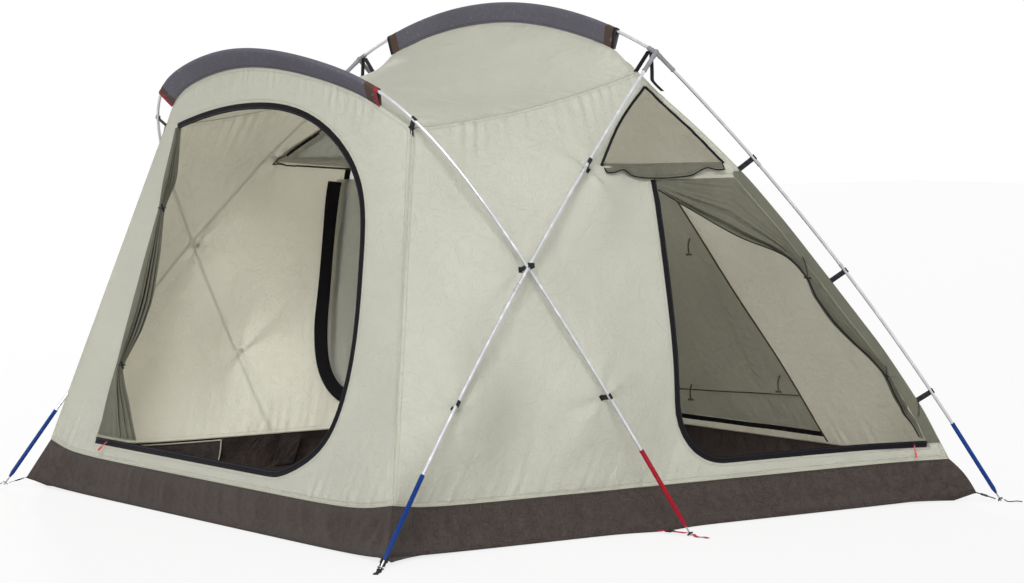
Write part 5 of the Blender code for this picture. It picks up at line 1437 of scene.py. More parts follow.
liningSet = {
    "thickness": 0.0008,
    "off": 0.0055,                     # from the wall it hangs on
    "fold": (0.0030, 0.055),           # height and wavelength of its upright folds
    "tape": (0.0014, 0.016),           # thickness of a band or cord, and how far inside its wall
    # name: wall, flat size, outline
    "sheets": {
        "left_door_lining": ("left", (0.26, 0.96), (
            (0.020, 0.265), (-0.012, 0.330), (-0.020, 0.450), (-0.024, 0.700), (-0.026, 0.900), (-0.030, 1.100),
            (-0.034, 1.172), (0.220, 1.172), (0.220, 0.225), (0.090, 0.235))),
        "left_vent_lining": ("left", (0.40, 0.27), (
            (-0.332, 1.250), (0.060, 1.216), (0.060, 1.470), (-0.060, 1.455))),
        "rear_door_lining": ("rear", (1.08, 1.40), (
            (-0.530, 0.205), (0.545, 0.205), (0.530, 0.700), (0.520, 1.248), (-0.520, 1.248), (-0.530, 0.700))),
    },
    # name: wall, look, width, line
    "bands": {
        "left_door_band": ("left", "blackBinding", 0.058, (
            (0.150, 0.240), (0.075, 0.268), (0.012, 0.312), (-0.028, 0.380), (-0.044, 0.470), (-0.050, 0.700),
            (-0.055, 0.900), (-0.050, 1.060), (-0.044, 1.168))),
        "left_vent_sill_cord": ("left", "oliveCord", 0.008, ((-0.334, 1.250), (0.060, 1.214))),
        "left_vent_front_cord": ("left", "oliveCord", 0.007, ((-0.334, 1.250), (-0.060, 1.455))),
        "left_vent_tab": ("left", "blackBinding", 0.016, ((-0.280, 1.280), (-0.165, 1.372))),
        "rear_door_foot_band": ("rear", "blackBinding", 0.026, ((-0.550, 0.203), (0.562, 0.203))),
        "rear_door_right_cord": ("rear", "oliveCord", 0.010, ((0.562, 0.172), (0.520, 1.250))),
        "rear_door_left_cord": ("rear", "oliveCord", 0.010, ((-0.562, 0.172), (-0.520, 1.250))),
        "rear_door_top_cord": ("rear", "oliveCord", 0.007, ((-0.780, 1.250), (0.780, 1.250))),
        "rear_door_tie_cord": ("rear", "oliveCord", 0.006, ((-0.300, 0.322), (0.545, 0.358))),
    },
    "toggles": ((0.431, 0.935), (0.466, 0.392), (-0.147, 0.310)),
    "toggleOff": -0.024,
    "hook": (((0.055, 0.006, 0.020), (0.042, 0, 0.034), (0.022, -0.004, 0.036), (0.006, -0.004, 0.018),
              (0, -0.002, -0.004), (0.002, 0, -0.030)), 0.0030),
    "bar": (((-0.013, 0, -0.033), (0.002, -0.001, -0.031), (0.016, 0, -0.032)), 0.0038),
}
# grid, way inwards on it, wall, way inwards as the wall is read, side
innerWalls = {"left": (leftSide, vec(1, 0, 0), leftWall, (-1, 0, 0), -1),
              "rear": (rearCloth, vec(0, -1, 0), rearWall, (0, -1, 0), 1)}


def liningSheet(name, wallName, flat, outline):
    # A light panel that hangs just inside a wall, cut to an outline.
    grid, inward = innerWalls[wallName][:2]
    normals = gridNormals(grid)
    normals *= np.where(normals @ inward < 0, -1.0, 1.0)[..., None]
    height, wavelength = liningSet["fold"]
    across = arcAlong(grid, 1)
    folds = height * (irregular(across, wavelength, 9) + 0.6 * irregular(across, wavelength / 2.3, 7))
    item = gridPiece(grid + normals * (liningSet["off"] + np.abs(folds))[..., None], name, liningSet["thickness"])
    cutAway(item, np.array(outline), wallName, keepInside=True)
    finishCloth(item, "netCloth")


def innerBand(name, wallName, look, width, line):
    _, _, wall, inward, side = innerWalls[wallName]
    line = smoothLine([(a, b, 0) for a, b in line], 90)[:, :2] if len(line) > 2 else np.linspace(*line, 60)
    sewnTape(name, wall, line, side, look, width, *liningSet["tape"], inward)


for name, sheet in liningSet["sheets"].items():
    liningSheet(name, *sheet)
for name, band in liningSet["bands"].items():
    innerBand(name, *band)
toggles = []
for i, (a, b) in enumerate(liningSet["toggles"]):
    spot = rearWall.point(a, b) + vec(0, liningSet["toggleOff"], 0)
    (hookLine, hookRadius), (barLine, barRadius) = liningSet["hook"], liningSet["bar"]
    toggles.append(tubePiece(f"rear_toggle_{i}", smoothLine(spot + np.array(hookLine), 30), hookRadius, 8))
    toggles.append(tubePiece(f"rear_toggle_bar_{i}", spot + np.array(barLine), barRadius, 8))
install(joined("rear_door_toggles", toggles), "oliveCord")


# Tub

print("stage: tub")
tubSet = {
    "wallRows": 13,
    "floorShares": (0.955, 0.90, 0.80, 0.66, 0.5, 0.34, 0.18, 0.0),
    "belly": 0.007,            # the tub's wall stands out this far between its seams
    "fold": (0.0046, 0.16),    # height and wavelength of its folds
    "fineFold": (0.0023, 0.055),
    "cornerFold": (0.011, 0.30, 0.085),   # height, reach along the tub and wavelength near a corner
    "cornerStill": 0.03,
    "slant": 0.16,             # a corner's folds lean this far from the foot to the rim
    "floorFold": (0.004, 0.5, 0.93),      # height, wavelength, and only inside this share of the floor
    "thickness": 0.0012,
    "piping": 0.0026,
    "seamPiping": 0.0022,
    "floorLevel": 0.0013,
    "pocketPiping": (0.0030, 0.001),      # radius, and how far it stands off the pocket
    "panelGrid": (14, 70),
    "panelOff": 0.012,         # a pocket or patch stands this far inside the tub's wall
    "panelFold": (0.002, 0.07),
}
fineLower = tubEdges(clothDetail["along"])[0]


def ringOf(front, right, rear):
    # The tub's four sides as one closed ring, against the clock from its front left corner.
    return np.vstack([front[:-1], right[:-1], rear[::-1][:-1], mirrored(right)[::-1][:-1], front[:1]])


tubRim = ringOf(fineFront[0], fineSide[0], fineRear[0])
tubSeam = ringOf(fineLower["front"], fineLower["right"], fineLower["rear"])


def makeTub():
    share = np.linspace(0, 1, tubSet["wallRows"])[:, None, None]
    wall = tubSeam[None] * (1 - share) + tubRim[None] * share
    around = arcAlong(tubRim[None], 1)[0]
    outward = gridNormals(wall)
    outward[:, 0] = outward[:, -1] = (outward[:, 0] + outward[:, -1]) / 2
    middle = np.sin(np.pi * share[..., 0])
    lift = tubSet["belly"] * middle
    for height, wavelength in (tubSet["fold"], tubSet["fineFold"]):
        lift = lift + height * middle * irregular(around, wavelength, 7)[None]
    height, reach, wavelength = tubSet["cornerFold"]
    for corner in range(0, len(around), clothDetail["along"] - 1):
        along = around - around[corner]
        slant = along[None] + (share[..., 0] - 0.5) * tubSet["slant"] * np.sign(along)[None]
        folds = np.sin(wholeTurn * slant / wavelength + corner) * np.exp(-(along[None] / reach) ** 2)
        lift += height * 0.5 * middle * folds * (np.abs(along[None]) > tubSet["cornerStill"])
    seamFade = np.minimum(1, np.minimum(around[-1] - around, around)[None] / tubSet["cornerStill"])
    wall = wall + outward * (lift * seamFade)[..., None]
    floors = []
    height, wavelength, inside = tubSet["floorFold"]
    for floorShare in tubSet["floorShares"]:
        ring = tubSeam * vec(floorShare, floorShare, 0) + vec(0, 0, tubSet["floorLevel"])
        ripple = irregular(around, wavelength, 7) * height * floorShare * seamFade[0]
        ring[:, 2] += np.abs(ripple) * (floorShare < inside)
        floors.append(ring)
    item = gridPiece(np.concatenate([np.array(floors[::-1]), wall]), "tub_cloth")
    faceOut(item)
    modified(item, "SOLIDIFY", thickness=tubSet["thickness"], offset=0.0)
    finishCloth(item, "tubCloth", [tubRim, tubSeam], (),
                ["tub_floor"])


def makePiping(name, points, radius, look, closed=False):
    install(tubePiece(name, points[:-1] if closed else points, radius, 8, closed=closed), look)


makeTub()
makePiping("tub_rim_seam", tubRim, tubSet["piping"], "seamPiping", True)
makePiping("tub_floor_seam", tubSeam, tubSet["piping"], "tubPiping", True)
for label, side in (("right", 1), ("left", -1)):
    for place, line in (("front", fineSide[:, 0]), ("rear", fineSide[:, -1]), ("shoulder", fineSide[-1])):
        makePiping(f"{place}_{label}_seam", line * vec(side, 1, 1), tubSet["seamPiping"], "seamPiping")


def tubInside(y, share):
    # A place on the left tub wall, between its floor seam and its rim.
    ends = [vec(np.interp(y, line[:, 1], line[:, 0]), y, np.interp(y, line[:, 1], line[:, 2]))
            for line in (mirrored(fineLower["right"]), mirrored(fineSide[0]))]
    return ends[0] * (1 - share) + ends[1] * share


def tubPanel(name, back, shares, puff):
    # A flat pocket or patch sewn to the inner side of the left tub wall.
    count, across = tubSet["panelGrid"]
    rows = []
    for share in np.linspace(*shares, count):
        swell = tubSet["panelOff"] + puff * math.sin(math.pi * (share - shares[0]) / (shares[1] - shares[0]))
        rows.append([tubInside(y, share) + vec(swell, 0, 0) for y in np.linspace(*back, across)])
    grid = np.array(rows)
    height, wavelength = tubSet["panelFold"]
    grid[..., 0] += height * irregular(grid[0, :, 1], wavelength)[None] * np.sin(np.linspace(0, np.pi, count))[:, None]
    item = gridPiece(grid, name, tubSet["thickness"])
    finishCloth(item, "pocketCloth", (), gridEdges(grid))
    return grid


pocket = tubPanel("tub_pocket", (-0.900, -0.530), (0.10, 0.93), 0.010)
for end, line in (("top", pocket[-1]), ("end", pocket[:, -1])):
    radius, off = tubSet["pocketPiping"]
    makePiping("tub_pocket_" + end, line + vec(off, 0, 0), radius, "seamPiping")
tubPanel("tub_patch", (-0.250, -0.150), (0.04, 0.95), 0.001)


# Poles, their coloured ends and the hubs

print("stage: poles")
poleSet = {
    "sides": 16,
    "step": 0.028,
    "ferrules": (0.42, 0.70),            # joints between sections, as shares of a leg
    "archFerrules": (0.16, 0.84),
    "ferruleSize": (0.034, 0.0011),      # length, and how far it stands proud
    "ferruleShape": (0.2, 1.0, 0.75, 0.75, 0.75, 1.0, 0.2),
    "grooves": (3, 0.006, 0.008),        # number, spacing, and the first one below the top
    "turnSteps": 28,
}


def stationsOn(start, stop, marks):
    fixed = sorted([start, stop] + [mark + way * poleFrame["straight"] for mark in marks for way in (-1, 1)])
    lengths = []
    for near, far in zip(fixed, fixed[1:]):
        parts = max(1, math.ceil((far - near) / poleFrame["poleStep"]))
        lengths += list(np.linspace(near, far, parts + 1)[:-1])
    return lengths + [stop]


def endWay(route):
    # Direction of the coloured end that a pole starts with.
    return unit(route.at(poleEnds["endLength"]) - route.at(0))


def footPoints(route):
    way, tip = endWay(route), route.at(0)
    return [tip + way * s for s in (poleEnds["endLength"] - poleEnds["endOverlap"],
                                    poleEnds["endLength"] + poleEnds["mouthRun"])]


def hubWay(route, length):
    # Direction of a hub's socket, from the hub into the pole that ends there.
    return unit(route.at(route.length - length) - route.at(route.length))


def hubPoints(route, length):
    way, center = hubWay(route, length), route.at(route.length)
    return [center + way * s for s in (length + poleEnds["mouthRun"], poleEnds["socketFloor"])]


def ferruleOn(name, line, share):
    route = Route(line)
    middle = route.length * share
    size, proud = poleSet["ferruleSize"]
    points = np.array([route.at(s) for s in np.linspace(middle - size / 2, middle + size / 2, 7)])
    radius = poleFrame["poleDiameter"] / 2
    return tubePiece(name, points, radius, poleSet["sides"], 1 + np.array(poleSet["ferruleShape"]) * proud / radius)


def makePole(name, points, side, ferrules):
    points = np.array(points)
    line = smoothLine(points, max(8, int(Route(points).length / poleSet["step"]))) * vec(side, 1, 1)
    pole = tubePiece(name + "_tube", line, poleFrame["poleDiameter"] / 2, poleSet["sides"])
    install(pole, "poleMetal", stands=[name])
    for i, share in enumerate(ferrules, 1):
        install(ferruleOn(f"{name}_joint_{i}", line, share), "ferruleMetal")


def makeLegs():
    socket, half = poleEnds["legSocketLength"], poleFrame["poleStep"] / 2
    for end, route, clips, extra in (("front", frontLeg, poleClips["frontClips"], [crossAt]),
                                     ("rear", rearLeg, poleClips["rearClips"], [])):
        marks = [route.atHeight(clip[0]) for clip in clips] + extra
        lengths = stationsOn(poleEnds["endLength"] + half, route.length - socket - half, marks)
        points = footPoints(route) + [route.at(s) for s in lengths] + hubPoints(route, socket)
        for label, side in (("left", -1), ("right", 1)):
            makePole(f"{end}_{label}_leg", points, side, poleSet["ferrules"])


def makeArchPole():
    marks = [rightArch.atHeight(clip[0]) for clip in poleClips["archClips"]] + [rightArch.nearest(crossArch)]
    belowSleeve = float(np.min(sleeveLengths(arch))) - poleFrame["straight"]
    low = [s for s in stationsOn(poleEnds["endLength"] + poleFrame["poleStep"] / 2, rightArch.length, marks)
           if s < belowSleeve]
    foot = np.array(footPoints(rightArch) + [rightArch.at(s) for s in low])
    makePole("front_arch_pole", np.vstack([mirrored(foot), archSleeve, foot[::-1]]), 1, poleSet["archFerrules"])


def makeRidgePole():
    end = hubPoints(ridge, poleEnds["ridgeSocketLength"])
    between = (cloth["sleeveOut"] + end[0][0]) / 2
    right = ridge.at(ridge.lengths[int(np.argmin(np.abs(ridge.points[:, 0] - between)))])
    tail = np.array([right] + end)
    makePole("ridge_pole", np.vstack([mirrored(tail)[::-1], ridgeSleeve, tail]), 1, ())


def spinPiece(name, profile, steps):
    # A turned piece: its profile (radius, height) is spun round Z.
    item = newPiece(name, bpy.ops.mesh.primitive_circle_add, vertices=len(profile), radius=1, fill_type="NOTHING")
    order = inRingOrder(item)
    for (radius, height), k in zip(profile, order):
        item.data.vertices[k].co = (radius, 0, height)
    for vertex in item.data.vertices:
        vertex.select = False
    bpy.ops.object.mode_set(mode="EDIT")
    bpy.ops.mesh.select_mode(type="EDGE")
    bpy.ops.object.mode_set(mode="OBJECT")
    for edge in item.data.edges:
        edge.select = set(edge.vertices) == {order[0], order[-1]}
    bpy.ops.object.mode_set(mode="EDIT")
    bpy.ops.mesh.delete(type="EDGE")
    bpy.ops.mesh.select_mode(type="VERT")
    bpy.ops.mesh.select_all(action="SELECT")
    bpy.ops.mesh.spin(steps=steps, angle=2 * math.pi, center=(0, 0, 0), axis=(0, 0, 1))
    bpy.ops.object.mode_set(mode="OBJECT")
    faceOut(item)
    smoothByAngle(item, 40.0)
    return item


def tipStart(way):
    # How far below its line's end a pole's pin reaches, to stand just over the ground.
    lean = math.acos(way[2])
    return (poleFrame["tipHeight"] - poleEnds["pinDiameter"] / 2 * math.sin(lean)
            - footStraps["groundGap"]) / math.cos(lean)


def makeEndPiece(name, route, side, look):
    way = endWay(route) * vec(side, 1, 1)
    below = tipStart(way)
    origin = route.at(0) * vec(side, 1, 1) - way * below
    top = poleEnds["endLength"] + below
    bore = poleFrame["poleDiameter"] / 2 + poleEnds["runClearance"]
    floor = top - poleEnds["endOverlap"] - poleEnds["runClearance"]
    pin, outer = poleEnds["pinDiameter"] / 2, poleEnds["endDiameter"] / 2
    taper, tipTop = poleEnds["taperTo"] + below, poleEnds["taperFrom"] + below
    profile = [(0, floor), (bore, floor), (bore, top - 0.001), (bore + 0.0005, top), (outer - 0.0008, top),
               (outer, top - 0.001)]
    count, spacing, first = poleSet["grooves"]
    for i in range(count):
        z = top - first - spacing * i
        profile += [(outer, z), (outer - 0.0006, z - 0.0008), (outer - 0.0006, z - 0.0018), (outer, z - 0.0026)]
    profile += [(outer, taper + 0.004), (outer - 0.0008, taper), (pin + 0.0012, tipTop + 0.002),
                (pin + 0.0012, tipTop), (0, tipTop)]
    body = spinPiece(name + "_cap", profile, poleSet["turnSteps"])
    tip = spinPiece(name + "_pin", [(0, tipTop + 0.004), (pin, tipTop + 0.004), (pin, 0.0012), (pin - 0.0009, 0.0),
                                    (0, 0.0)], poleSet["turnSteps"])
    for piece in (body, tip):
        moveMesh(piece, standing(origin, way))
    install(body, look, stands=[name])
    install(tip, "ferruleMetal")


def makeHub(name, side):
    center = hub * vec(side, 1, 1)
    outer = poleEnds["socketDiameter"] / 2
    bore, floor = poleFrame["poleDiameter"] / 2 + poleEnds["runClearance"], poleEnds["socketFloor"]
    body = newPiece(name, bpy.ops.mesh.primitive_uv_sphere_add, segments=24, ring_count=16,
                    radius=poleEnds["hubDiameter"] / 2)
    moveMesh(body, Matrix.Translation(center))
    smoothByAngle(body, 40.0)
    parts = [body]
    for i, (route, kind) in enumerate(((frontLeg, "leg"), (rearLeg, "leg"), (ridge, "ridge"))):
        length = poleEnds[kind + "SocketLength"]
        profile = [(0, floor), (bore, floor), (bore, length - 0.001), (bore + 0.0006, length),
                   (outer - 0.0007, length), (outer, length - 0.0008), (outer, length - 0.007),
                   (outer - 0.0009, length - 0.009), (outer - 0.0009, 0.030), (outer, 0.026), (outer, 0.004),
                   (0, 0.004)]
        socket = spinPiece(f"{name}_socket_{i}", profile, poleSet["turnSteps"])
        moveMesh(socket, standing(center, hubWay(route, length) * vec(side, 1, 1)))
        parts.append(socket)
    install(joined(name + "_block", parts), "hubPlastic", stands=[name])


makeLegs()
makeArchPole()
makeRidgePole()
for label, side in (("left", -1), ("right", 1)):
    for place, route, color in (("front", frontLeg, "blue"), ("rear", rearLeg, "blue"), ("middle", rightArch, "red")):
        makeEndPiece(f"{place}_{label}_pole_end", route, side, color + "End")
    makeHub(label + "_hub", side)


# Zips: tape, coil, slider and cord pull

print("stage: zips")
zipSet = {
    "tapeThickness": 0.0016,
    "tapeRows": 7,
    "coilRadius": 0.0024,
    "coilIn": 0.0065,          # coil this far inside the tape's middle, towards the opening
    "coilOff": 0.0016,
    "loop": (0.0019 * 0.62, 0.0022, 0.0004, 0.74),   # cord's radius, loop's half width, its least, share of the pull
    # Slider, as shares of its length and height, and of its length and depth
    "plate": ((-0.5, -0.30), (-0.28, -0.5), (0.32, -0.5), (0.5, -0.22), (0.5, 0.22), (0.32, 0.5), (-0.28, 0.5),
              (-0.5, 0.30)),
    "plates": (-0.36, 0.10),
    "bridge": ((-0.34, -0.1), (-0.30, 0.30), (-0.12, 0.48), (0.12, 0.48), (0.30, 0.30), (0.34, -0.1), (0.24, -0.1),
               (0.20, 0.22), (-0.20, 0.22), (-0.24, -0.1)),
    # Grip of the pull: radius, and share of the pull's length
    "grip": ((0, 0.60), (0.0024, 0.60), (0.0036, 0.64), (0.0038, 0.86), (0.0044, 0.94), (0.0038, 1.0), (0, 1.0)),
}


def straightFoot(wall, line, run):
    # Lower and upper edge of the tape, straight along its foot where the slider runs.
    lower, upper = [np.array([wall.point(a, b) for a, b in offsetLine(line, offset)])
                    for offset in (-doors["zipWidth"] / 2, doors["zipWidth"] / 2)]
    low = line[:, 1] < line[:, 1].min() + doors["zipThickness"]
    first, last = np.nonzero(low & (line[:, 0] > run[0]) & (line[:, 0] < run[1]))[0][[0, -1]]
    rise = (upper[first] - lower[first] + upper[last] - lower[last]) / 2
    share = ((line[first:last + 1, 0] - line[first, 0]) / (line[last, 0] - line[first, 0]))[:, None]
    foot = lower[first] * (1 - share) + lower[last] * share
    lower[first:last + 1] = foot
    upper[first:last + 1] = foot + rise
    return lower, upper, first, last, rise


def sliderPiece(name, matrix):
    # Slider body: two wings, a bridge over them and a post between them.
    length, height, depth = sliders["slider"]
    outline = [(x * length, y * height) for x, y in zipSet["plate"]]
    parts = []
    for i, z in enumerate(zipSet["plates"]):
        plate = profilePiece(f"{name}_plate_{i}", outline, depth * 0.24)
        moveMesh(plate, Matrix.Translation((0, 0, depth * z)))
        soften(plate, 0.0004)
        parts.append(plate)
    bridge = profilePiece(name + "_bridge", [(x * length, z * depth) for x, z in zipSet["bridge"]], height * 0.30)
    moveMesh(bridge, alongY)
    soften(bridge, 0.0003)
    post = profilePiece(name + "_post", outline[:2] + outline[-2:], depth * 0.5)
    moveMesh(post, Matrix.Translation((length * 0.08, 0, -depth * 0.14)))
    piece = joined(name + "_body", parts + [bridge, post])
    moveMesh(piece, matrix)
    install(piece, "clipPlastic", name, [name])


def pullPiece(name, root, down, out, along):
    # A cord loop through the slider's bridge, drawn together in a moulded grip.
    length = sliders["pullLength"]
    radius, wide, least, share = zipSet["loop"]
    t = np.linspace(0, 1, 26)
    spread = np.outer(wide * np.sin(np.pi * np.minimum(1, t * 1.15)) ** 0.8 + least, along)
    near = root + np.outer(t * length * share, down)
    loop = tubePiece(name + "_loop", np.vstack([(near + spread)[::-1], near - spread]), radius, 8)
    grip = spinPiece(name + "_grip", [(r, s * length) for r, s in zipSet["grip"]], 20)
    moveMesh(grip, standing(root, down))
    install(joined(name + "_cord", [loop, grip]), "pullCord", name, [name])


def makeZip(name, wall, line, run, rest, side=1):
    lower, upper, first, last, rise = straightFoot(wall, line, run)
    flip = vec(side, 1, 1)
    dense = refined(np.array([lower, upper]), 2, len(line) * 6)
    rows = np.array([dense[0] * (1 - s) + dense[1] * s for s in np.linspace(0, 1, zipSet["tapeRows"])]) * flip
    tape = gridPiece(rows, name + "_zip_tape", zipSet["tapeThickness"])
    smoothByAngle(tape, 50.0)
    install(tape, "zipTape", stands=[name + "_zip"])
    inward = 0.5 + zipSet["coilIn"] / doors["zipWidth"]
    outside = vec(side, 0, 0) if wall.isSide else vec(0, -1, 0)
    coil = (dense[0] * (1 - inward) + dense[1] * inward) * flip + outside * zipSet["coilOff"]
    install(tubePiece(name + "_zip_coil", coil, zipSet["coilRadius"], 8), "zipCoil")
    grid = np.array([lower, upper]) * flip
    start, end = grid[:, first].mean(axis=0), grid[:, last].mean(axis=0)
    along, up = unit(end - start), unit(rise * flip)
    out = unit(np.cross(along, up))
    if out @ outside < 0:
        along, out = -along, -out
    up = np.cross(out, along)
    depth = sliders["slider"][2]
    face = start + (end - start) * rest + out * (doors["zipThickness"] / 2 + cloth["seamGap"])
    sliderPiece(name + "_zip_slider", placed(along, up, out, face + out * depth / 2))
    root = face + out * (depth + sliders["pullRoot"] + poleEnds["runClearance"])
    lean = math.radians(sliders["pullLean"])
    pullPiece(name + "_zip_pull", root, unit(-up * math.cos(lean) + out * math.sin(lean)), out, along)


coarseSide = Wall(sideGrid, True)
frontRun = (sliders["frontRunIn"] - doors["frontDoorLeft"], doors["frontDoorOut"][0] - sliders["frontRunIn"])
sideRun = (sideLine[-1][0] - sliders["sideRunStart"], sideLine[-1][0] - sliders["sideRunEnd"])
makeZip("front", Wall(frontGrid, False), frontLine, frontRun, sliders["frontRest"])
makeZip("right", coarseSide, sideLine, sideRun, 1 - sliders["sideRest"])
makeZip("left", coarseSide, sideLine, sideRun, sliders["sideRest"], -1)


# Pole sleeves of net, with cloth ends and bound edges

print("stage: sleeves")
sleeveSet = {
    "net": (150, 0.0, 0.0008),        # stations, how far it stands proud of the sleeve's section, thickness
    "end": (14, 0.0009, 0.0009),
    "band": (6, 0.0018, 0.0012),
    "endLength": 0.062,               # cloth end of a sleeve
    "bandLength": 0.014,              # bound edge at the very end
    "pucker": (0.0016, 0.05),
}


def sleeveSection(proud):
    # (across, down) of the folded strip, from its seam up over the pole and down again.
    depth = cloth["sleeveHeight"] - cloth["sleeveSeat"]
    radius = cloth["sleeveRadius"] + proud
    foot = cloth["sleeveFoot"] + proud
    over = [(radius * math.sin(a), -radius * math.cos(a)) for a in np.radians(np.linspace(-90, 90, 9))]
    left = [(-foot - (radius - foot) * s ** 0.8, depth * (1 - s)) for s in np.linspace(0, 1, 9)[:-1]]
    return left + over + [(-x, z) for x, z in left[::-1]]


def sleeveGrid(points, normal, proud, pucker=0.0):
    along = np.gradient(points, axis=0)
    along /= np.linalg.norm(along, axis=1)[:, None]
    down = np.cross(along, normal)
    down *= np.where(down[:, 2:3] > 0, -1, 1)
    side = np.cross(along, down)
    arc = arcAlong(points[None], 1)[0]
    rows = []
    for across, drop in sleeveSection(proud):
        share = min(1.0, max(0.0, drop / cloth["sleeveHeight"]))
        wave = pucker * irregular(arc, sleeveSet["pucker"][1], 6) * math.sin(math.pi * share)
        wave *= 1 if across > 0 else -1
        rows.append(points + side * (across + wave[:, None]) + down * drop)
    return np.array(rows)


def sleevePart(name, kind, points, normal, start, stop, pucker=0.0):
    count, proud, thickness = sleeveSet[kind]
    route = Route(smoothLine(points, 600))
    first = start if start >= 0 else route.length + start
    last = stop if stop > 0 else route.length + stop
    points = np.array([route.at(s) for s in np.linspace(first, last, count)])
    return gridPiece(sleeveGrid(points, normal, proud, pucker), name, thickness)


def makeSleeve(name, points, normal, bandLook):
    body = sleevePart(name + "_net", "net", points, normal, 0.0, 0.0, sleeveSet["pucker"][0])
    route = Route(smoothLine(points, 600))
    grid = sleeveGrid(resample(route.points, 60), normal, 0.0)
    finishCloth(body, "sleeveNet", [grid[0], grid[-1]], (), [name])
    long, short = sleeveSet["endLength"], sleeveSet["bandLength"]
    for label, ends in (("left", ((0.0, long), (0.0, short))), ("right", ((-long, 0.0), (-short, 0.0)))):
        end = sleevePart(f"{name}_{label}_end", "end", points, normal, *ends[0])
        markDistances(end)
        band = sleevePart(f"{name}_{label}_band", "band", points, normal, *ends[1])
        for item, look in ((end, "sleeveEndCloth"), (band, bandLook)):
            smoothByAngle(item, 60.0)
            install(item, look)


makeSleeve("front_sleeve", archSleeve, archNormal, "redBinding")
makeSleeve("ridge_sleeve", ridgeSleeve, ridgeNormal, "blackBinding")


# Pole clips and the tapes they hang on

print("stage: clips")
clipSet = {
    "arcSteps": 16,
    "bevel": 0.0006,
    "patch": (0.020, 0.014, 0.0008),     # sewn patch under a clip: along the pole, across it, thickness
    "patchOff": 0.0012,
    "tail": (0.060, 0.012, 0.0014),      # loose end of the tape: length, width and thickness
    "tailSwing": (0.004, 0.0014, 0.008),  # it starts this far down and out, and swings out this far
}


def arcPoints(center, radius, start, stop):
    angles = np.radians(np.linspace(start, stop, clipSet["arcSteps"]))
    return [(center + radius * math.cos(a), radius * math.sin(a)) for a in angles]


def rootPoints():
    # The rolled root of a clip's tape, round the origin.
    start = math.degrees(math.asin(poleClips["clipTape"] / 2 / poleClips["rootRadius"]))
    return arcPoints(0, poleClips["rootRadius"], start, 360 - start)


def clipOutline(reach):
    # Side view: rolled root at the origin, tape along +X, and a hook over the pole.
    inner = poleFrame["poleDiameter"] / 2 + poleClips["clipClearance"]
    outer = inner + poleClips["clipWall"]
    half, lip = poleClips["clipTape"] / 2, poleClips["clipLip"]
    slot = [(reach - inner, -half)] + arcPoints(reach, inner, 180, 0) + [(reach + inner, -lip)]
    back = [(reach + outer, -lip)] + arcPoints(reach, outer, 0, 180 - math.degrees(math.asin(half / outer)))
    return rootPoints() + slot + back


def crossOutline(reach, angle):
    # As clipOutline, with one square hook over both poles where they cross.
    radius = poleFrame["poleDiameter"] / 2
    clearance, half = poleClips["clipClearance"], poleClips["clipTape"] / 2
    near = reach - radius - clearance - half
    far = reach + 3 * radius + poleFrame["crossClearance"] + clearance
    top = radius / math.cos(angle) + poleClips["crossWidth"] / 2 * math.tan(angle) + clearance
    wall, lip = poleClips["clipWall"], poleClips["crossLip"]
    return rootPoints() + [
        (near, -half), (near, top), (far, top), (far, -lip), (far + wall, -lip), (far + wall, top),
        (far + wall * 0.7, top + wall * 0.7), (far, top + wall), (near, top + wall),
        (near - wall * 0.7, top + wall * 0.7), (near - wall, top), (near - wall, half)]


def clipTapes(name, clothPoint, along, out, tail):
    # Sewn patch on the cloth, and a loose tape end where there is one.
    length, across, thick = clipSet["patch"]
    base = clothPoint + out * clipSet["patchOff"]
    line = np.array([base + np.cross(along, out) * s for s in np.linspace(-across / 2, across / 2, 9)])
    parts = [ribbonPiece(name + "_patch", line, along, length, thick)]
    if tail:
        length, width, thick = clipSet["tail"]
        drop, off, swing = clipSet["tailSwing"]
        points = [base + out * (off + swing * math.sin(math.pi * s * 0.8)) - vec(0, 0, drop + length * s)
                  for s in np.linspace(0, 1, 14)]
        parts.append(ribbonPiece(name + "_tail", points, unit(np.cross(vec(0, 0, -1), out)), width, thick))
    install(joined(name + "_tapes", parts), "blackWebbing")


def putClip(name, outline, width, place, reach, side, tail):
    flip = vec(side, 1, 1)
    polePoint, along, out, clothPoint = (value * flip for value in place)
    piece = profilePiece(name + "_hook", outline, width)
    soften(piece, clipSet["bevel"], 2, 50.0)
    moveMesh(piece, placed(out, np.cross(along * side, out), along * side, polePoint - out * reach))
    smoothByAngle(piece, 40.0)
    install(piece, "clipPlastic", name, [name])
    clipTapes(name, clothPoint, along, out, tail)


def makeClips():
    groups = (("rear", poleClips["rearClips"], rearPlaces, (True, True, True)),
              ("front", poleClips["frontClips"], frontPlaces, (False, False)),
              ("arch", poleClips["archClips"], archPlaces, (False, True)))
    legWay = frontLeg.direction(crossAt)
    archWay = rightArch.direction(rightArch.nearest(crossArch))
    along = unit(legWay + archWay)
    along = unit(along - (along @ crossOut) * crossOut)
    crossing = crossOutline(poleClips["crossReach"], math.acos(float(legWay @ archWay)) / 2)
    for label, side in (("left", -1), ("right", 1)):
        for group, clips, places, tails in groups:
            for i, (clip, place, tail) in enumerate(zip(clips, places, tails), 1):
                putClip(f"{group}_{label}_clip_{i}", clipOutline(clip[1]), poleClips["clipWidth"], place, clip[1],
                        side, tail)
        putClip(f"crossing_{label}_clip", crossing, poleClips["crossWidth"], (crossArch, along, crossOut, crossCloth),
                poleClips["crossReach"], side, False)


makeClips()


# Door and vent flaps

